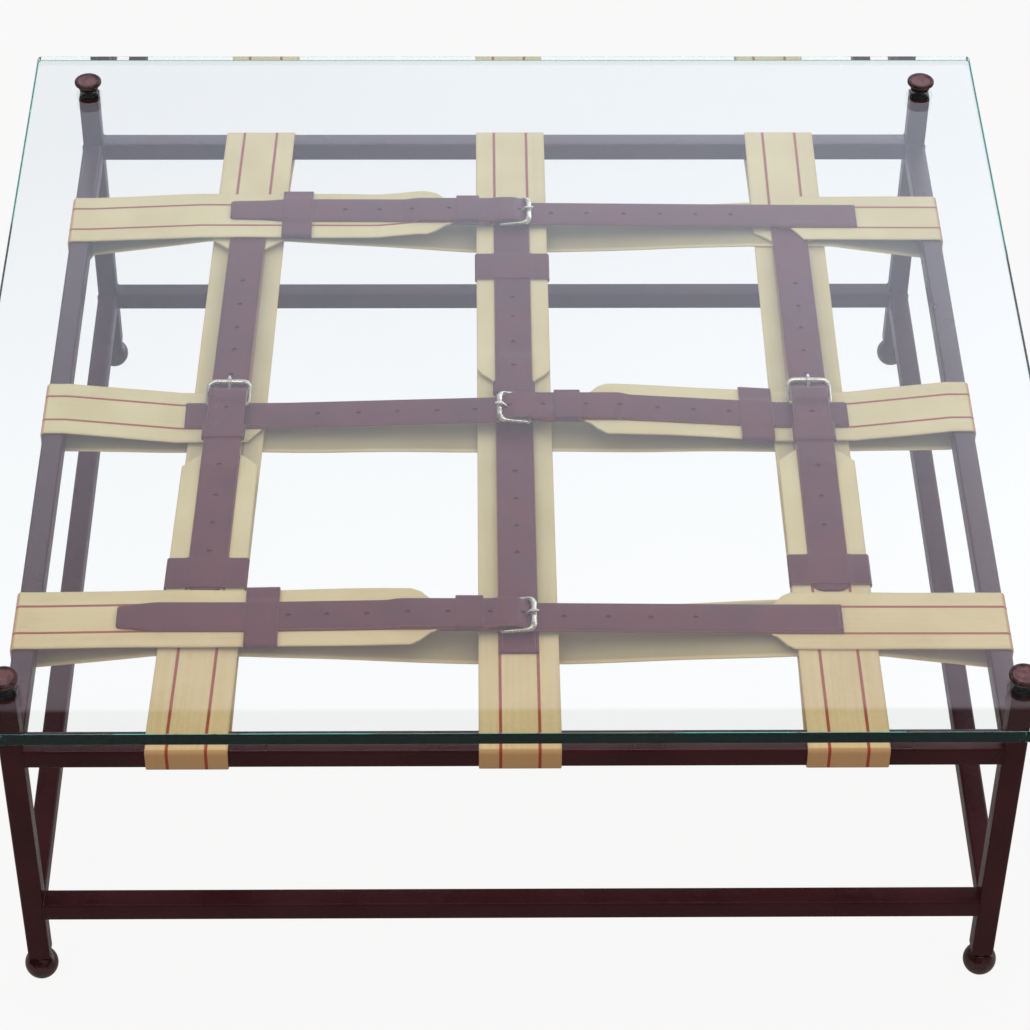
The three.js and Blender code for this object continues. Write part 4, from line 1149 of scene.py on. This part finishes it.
def strap_path(loop):
    free, sewn = top_knots(loop)
    half = STRAP_WIDTH / 2
    butt, bar, tip = at(loop, "butt"), at(loop, "bar"), at(loop, "tip")
    end = chape_end(loop)
    step_end = end - STRAP_STEP

    def raised(knots, place, radius=BEND_RADIUS):
        return place, level_at(knots, place) + STRAP_RISE, half, radius

    def at_buckle(place, rise, radius):
        return place, loop["bar_level"] + rise, half, radius

    corners = [
        raised(sewn, butt, 0),
        *(raised(sewn, place) for place, _ in reversed(sewn[1:]) if place < butt - STRAP_THICKNESS),
        raised(sewn, sewn[0][0] - STRAP_THICKNESS),
        at_buckle(bar + FRAME_LENGTH - GAP * 3, STRAP_UNDER_FRONT, BEND_RADIUS / 4),
        at_buckle(bar + FRAME_LENGTH * HUMP_SHARE, STRAP_OVER_BAR, BEND_RADIUS / 4),
        at_buckle(bar, STRAP_OVER_BAR, BEND_RADIUS / 4),
        at_buckle(bar - FOLD_REACH * 2, STRAP_ON_CHAPE, BEND_RADIUS),
        at_buckle(end - STRAP_THICKNESS, STRAP_ON_CHAPE, BEND_RADIUS),
        raised(free, step_end),
        *(raised(free, place) for place, _ in reversed(free[1:-2]) if tip < place < step_end),
        raised(free, tip, 0),
    ]
    return end_cut(divided(rounded(corners), STRAP_STEP_LENGTH), loop["tip_outline"])


def end_cut(path, outline):
    """Narrows the end of a strap path to an outline of (distance from the tip, share of the width)."""
    tip = path[-1][0]
    near = [p for p in path if p[0] - tip > outline[-1][0]]
    places = {p[0] - tip for p in path if p[0] - tip <= outline[-1][0]} | {float(d) for d, _ in outline}
    levels = [(p[0], p[1]) for p in path]
    return near + [(tip + away, level_at(levels, tip + away), STRAP_WIDTH / 2 * level_at(outline, away))
                   for away in sorted(places, reverse=True)]


def prong_places():
    """Where the prong bends, measured from the heel bar, and where it passes the tongue's middle."""
    hump = FRAME_LENGTH * HUMP_SHARE
    slope = (STRAP_UNDER_FRONT - STRAP_OVER_BAR) / (FRAME_LENGTH - GAP * 3 - hump)
    rest = FRAME_RISE + BAR_DIAMETER / 2 + FRONT_BAR_EXTRA + GAP + PRONG_THICKNESS / 2
    low = Vector((FRAME_LENGTH * PRONG_BEND_SHARES[0], -BAR_DIAMETER * PRONG_DROP_SHARE))
    high = Vector((FRAME_LENGTH * PRONG_BEND_SHARES[1], rest - PRONG_THICKNESS / 4))
    rise = (high.y - low.y) / (high.x - low.x)
    crossing = (STRAP_OVER_BAR - slope * hump - low.y + rise * low.x) / (rise - slope)
    return low, high, rest, crossing


def pin_shape(place, level, length, skin=-STRAP_THICKNESS):
    """A punch into the tongue, round or as a slot along it; skin is the leather left under it, a dark floor
    standing in for the shade down a hole that goes through.
    """
    radius = HOLE_DIAMETER / 2
    straight = (length - HOLE_DIAMETER) / 2
    sides = ROUND_STEPS // 2
    outline = []
    for step in range(sides):
        angle = 2 * math.pi * (step + 0.5) / sides
        shift = math.copysign(straight, math.cos(angle))
        outline.append((place + shift + radius * math.cos(angle), radius * math.sin(angle)))
    ends = (level - STRAP_THICKNESS / 2 + skin, level + STRAP_THICKNESS * 2)
    return [(u, v, end) for end in ends for u, v in outline], ring_faces(2, sides), None, None


def make_strap(loop, matrix, leather, thread):
    path = strap_path(loop)
    knots = [(p, q) for p, q, _ in path]
    shape = strip(path, flat(STRAP_THICKNESS, STRAP_EDGE, STRAP_COLUMNS, STRAP_CROWN))
    strap = add_piece("tongue_" + loop["name"], moved(shape, matrix), [leather],
                      ["strap_" + loop["name"]])
    places = [share * HALF_SPAN for share in loop["holes"]]
    pins = [pin_shape(place, level_at(knots, place), HOLE_DIAMETER, HOLE_SHADE_SKIN) for place in places]
    crossing = at(loop, "bar") + prong_places()[3]
    pins.append(pin_shape(crossing, level_at(knots, crossing), PRONG_HOLE_LENGTH))
    cut_away(strap, moved(join_shapes(pins), matrix))
    strap.data.set_sharp_from_angle(angle=SMOOTH_ANGLE)
    sewn_end = top_knots(loop)[1][0][0]
    rows = stitch_rows(knots, sewn_end + STITCH_MARGIN, at(loop, "butt") - STITCH_MARGIN,
                       STRAP_WIDTH / 2 - STITCH_MARGIN)
    add_piece("stitches_" + loop["name"], moved(join_shapes(rows), matrix), [thread])


def stitch_shape(start, end):
    """One stitch: a short thick thread between two places on a level surface."""
    above = Vector((0, 0, STITCH_RADIUS))
    middle = (start + end) / 2 + above * STITCH_ARCH
    shoulders = [place + (middle - place) * STITCH_SHOULDER + above * STITCH_SWELL for place in (start, end)]
    line = [start - above, shoulders[0], middle, shoulders[1], end - above]
    return rod(line, [STITCH_RADIUS * share for share in STITCH_TAPER], STITCH_SIDES, False)


def stitch_rows(knots, first, last, side):
    surface = STRAP_THICKNESS / 2 + STRAP_CROWN / 2
    shapes = []
    count = max(2, int((last - first) / STITCH_PITCH))
    for index in range(count):
        near = first + (last - first) * index / count
        for v in (-side, side):
            ends = [Vector((u, v, level_at(knots, u) + surface)) for u in (near, near + STITCH_LENGTH)]
            shapes.append(stitch_shape(*ends))
    across = max(2, int(2 * side / STITCH_PITCH))
    level = level_at(knots, last) + surface
    for index in range(across):
        near = -side + 2 * side * (index + STITCH_LEAD) / across
        shapes.append(stitch_shape(*(Vector((last, v, level)) for v in (near, near + STITCH_LENGTH))))
    return shapes


def ring_shape(corners, thickness, near, far):
    """A leather ring: a band of some length along u, on a closed line with corners (v, z, radius)."""
    half = abs(near - far) / 2
    line = rounded([(v, z, half, radius) for v, z, radius in corners], closed=True)
    line = divided([*line, line[0]], STRAP_STEP_LENGTH)[:-1]
    section = flat(thickness, KEEPER_EDGE, STRAP_COLUMNS, KEEPER_CROWN)
    points, faces, uvs, _ = strip(line, section, closed=True)
    middle = (near + far) / 2
    return [(v + middle, p, q) for p, v, q in points], faces, to_strap_edges(uvs, half), None


def to_strap_edges(uvs, half):
    """Scales the places across a strip so that its edges read as a tongue's edges."""
    share = STRAP_WIDTH / 2 / half
    return [(along, across * share) for along, across in uvs]


def small_keeper_shape(loop):
    thickness = SMALL_KEEPER_THICKNESS
    middle = STRAP_WIDTH / 2 + SMALL_KEEPER_ROOM + thickness / 2
    low = CHAPE_RISE
    high = RING_TOP + thickness / 2
    near, far = (share * HALF_SPAN for share in loop["keeper"])
    shape = ring_shape([(middle, low, thickness), (middle, high, thickness), (-middle, high, thickness),
                        (-middle, low, thickness)], thickness, near, far)
    return moved(shape, Matrix.Translation((0, 0, loop["bar_level"])))


def wide_keeper_shape(loop):
    """The loose keeper: flat under the webbing, and drawn down beside the tongue above it."""
    side = WEBBING_WIDTH / 2 + KEEPER_CLEARANCE + KEEPER_THICKNESS / 2
    left, right = loop["aside"] - side, side + loop["aside"]
    low = -WEBBING_THICKNESS / 2 - GAP - KEEPER_THICKNESS / 2
    high = STACK_RISE + GAP + KEEPER_THICKNESS / 2
    shoulder = high - STRAP_THICKNESS / 2
    tongue = STRAP_WIDTH / 2
    corner = KEEPER_THICKNESS * 3 / 2
    soft = BEND_RADIUS / 4
    free, _ = top_knots(loop)
    far, near = (share * HALF_SPAN for share in loop["wide_keeper"])
    slope = math.atan2(level_at(free, near) - level_at(free, far), near - far)
    shape = ring_shape([
        (right, low, corner), (right, shoulder, corner), (tongue + corner * 2, shoulder, soft),
        (tongue - corner, high, soft), (-tongue + corner, high, soft),
        (-tongue - corner * 2, shoulder, soft), (left, shoulder, corner), (left, low, corner),
    ], KEEPER_THICKNESS, (near - far) / 2, (far - near) / 2)
    middle = (near + far) / 2
    spot = Matrix.Translation((middle, 0, level_at(free, middle))) @ Matrix.Rotation(-slope, 4, "Y")
    return moved(shape, spot)


def chape_shape(loop):
    bar = at(loop, "bar")
    level = loop["bar_level"]
    half = CHAPE_WIDTH / 2
    end = chape_end(loop)
    path = [(end, level - CHAPE_RISE, half), (bar - FOLD_TAIL, level - CHAPE_RISE, half)]
    for step in range(TURN_STEPS + 1):
        angle = math.pi * (step / TURN_STEPS - 1 / 2)
        path.append((bar + FOLD_RADIUS * math.cos(angle), level + FOLD_RADIUS * math.sin(angle), half))
    path += [(bar - FOLD_TAIL, level + CHAPE_RISE, half), (end, level + CHAPE_RISE, half)]
    section = flat(CHAPE_THICKNESS, STRAP_EDGE, CHAPE_COLUMNS)
    points, faces, uvs, _ = strip(divided(path, STRAP_STEP_LENGTH), section)
    return points, faces, to_strap_edges(uvs, half), None


def make_chape(loop, matrix, leather):
    chape = add_piece("fold_" + loop["name"], moved(chape_shape(loop), matrix), [leather],
                      ["chape_" + loop["name"]])
    half = (PRONG_WIDTH + SLOT_MARGIN) / 2
    slot_points = [(at(loop, "bar") + u * FOLD_TAIL, v * half, loop["bar_level"] + z * FOLD_TAIL)
                   for u in (-1, 1) for v in (-1, 1) for z in (-1, 1)]
    slot_faces = [(0, 1, 3, 2), (4, 6, 7, 5), (0, 4, 5, 1), (2, 3, 7, 6), (0, 2, 6, 4), (1, 5, 7, 3)]
    cut_away(chape, moved((slot_points, slot_faces, None, None), matrix))
    chape.data.set_sharp_from_angle(angle=SMOOTH_ANGLE)
    add_piece("ring_" + loop["name"], moved(small_keeper_shape(loop), matrix), [leather])


def buckle_shape(loop):
    """The buckle frame: one round bar bent to a closed loop, wider corners at its front."""
    side = FRAME_INSIDE / 2 + BAR_DIAMETER / 2
    line = rounded([(FRAME_LENGTH, side, 0, FRONT_CORNER), (0, side, 0, HEEL_CORNER),
                    (0, -side, 0, HEEL_CORNER), (FRAME_LENGTH, -side, 0, FRONT_CORNER)], closed=True)
    slope = FRAME_RISE / FRAME_LENGTH
    spot = Vector((at(loop, "bar"), 0, loop["bar_level"]))
    centre_line = [spot + Vector((u, v, u * slope)) for u, v, _ in line]
    radii = [BAR_DIAMETER / 2 + FRONT_BAR_EXTRA * max(0.0, u / FRAME_LENGTH * 4 - 3) for u, _, _ in line]
    return rod(centre_line, radii, ROD_SIDES, True)


def prong_shape(loop):
    """The prong: an eye round the heel bar and a shank that rests on the front bar."""
    low, high, rest, _ = prong_places()
    half = PRONG_WIDTH / 2
    eye_radius = BAR_DIAMETER / 2 + GAP + GAP / 2 + PRONG_THICKNESS / 4
    angles = [2 * math.pi * step / ROD_SIDES for step in range(ROD_SIDES)]
    eye_line = [(eye_radius * math.cos(angle), eye_radius * math.sin(angle), half) for angle in angles]
    eye = strip(eye_line, flat(PRONG_THICKNESS / 2, PRONG_THICKNESS / 5, PRONG_COLUMNS), closed=True)
    line = rounded([
        (eye_radius, low.y, half, 0), (low.x, low.y, half, PRONG_THICKNESS),
        (high.x, high.y, half, PRONG_THICKNESS), (FRAME_LENGTH, rest, half, BEND_RADIUS),
        (FRAME_LENGTH + PRONG_OVERHANG, rest - PRONG_THICKNESS / 4, PRONG_TIP_WIDTH / 2, 0),
    ])
    shank = strip(line, flat(PRONG_THICKNESS, PRONG_TIP_WIDTH / 3, PRONG_COLUMNS))
    return moved(join_shapes([eye, shank]), Matrix.Translation((at(loop, "bar"), 0, loop["bar_level"])))


def make_loop(loop, webbing, leather, nickel, thread):
    matrix = loop_matrix(loop)
    name = loop["name"]
    add_piece("band_" + name, moved(webbing_shape(loop), matrix), [webbing], ["webbing_" + name])
    make_strap(loop, matrix, leather, thread)
    make_chape(loop, matrix, leather)
    add_piece("frame_" + name, moved(buckle_shape(loop), matrix), [nickel], ["buckle_" + name])
    add_piece("tongue_pin_" + name, moved(prong_shape(loop), matrix), [nickel], ["prong_" + name])
    add_piece("loose_keeper_" + name, moved(wide_keeper_shape(loop), matrix), [leather],
              ["keeper_" + name], f"keeper_{name}_body")


make_camera()
make_floor()
make_light()
rubber = rubber_material()
make_frame(lacquer_material("lacquer", 0.12), lacquer_material("lacquer_upper", 0.65), rubber)
make_turned_pieces(
    bronze_material("bronze_rim", (0.030, 0.011, 0.010), (0.085, 0.030, 0.028), 0.32, 0.3),
    bronze_material("bronze_dish", (0.095, 0.036, 0.036), (0.19, 0.083, 0.085), 0.38, 0.4),
    bronze_material("bronze_foot", (0.022, 0.007, 0.006), (0.066, 0.022, 0.018), 0.16, 0.5),
    rubber,
)
make_glass(
    glass_material("glass", (0.985, 0.99, 0.99), (0.995, 1.0, 1.0), (1.0, 1.0, 1.0), 1.0),
    glass_material("glass_edge", (0.40, 0.90, 0.84), (0.48, 0.98, 0.91), (0.08, 0.16, 0.15),
                   GLASS_EDGE_CLEAR),
)
# The rows carry more painted shade on the inner faces of their loops than the columns, and no red line
# there.
row_webbing = webbing_material("webbing_row", 0.6, 0.0)
column_webbing = webbing_material("webbing_column", 0.1, 0.5)
leather = leather_material()
nickel = nickel_material()
thread = thread_material()
for loop in LOOPS:
    make_loop(loop, row_webbing if loop["axis"] else column_webbing, leather, nickel, thread)

bpy.context.scene.view_settings.view_transform = "Standard"
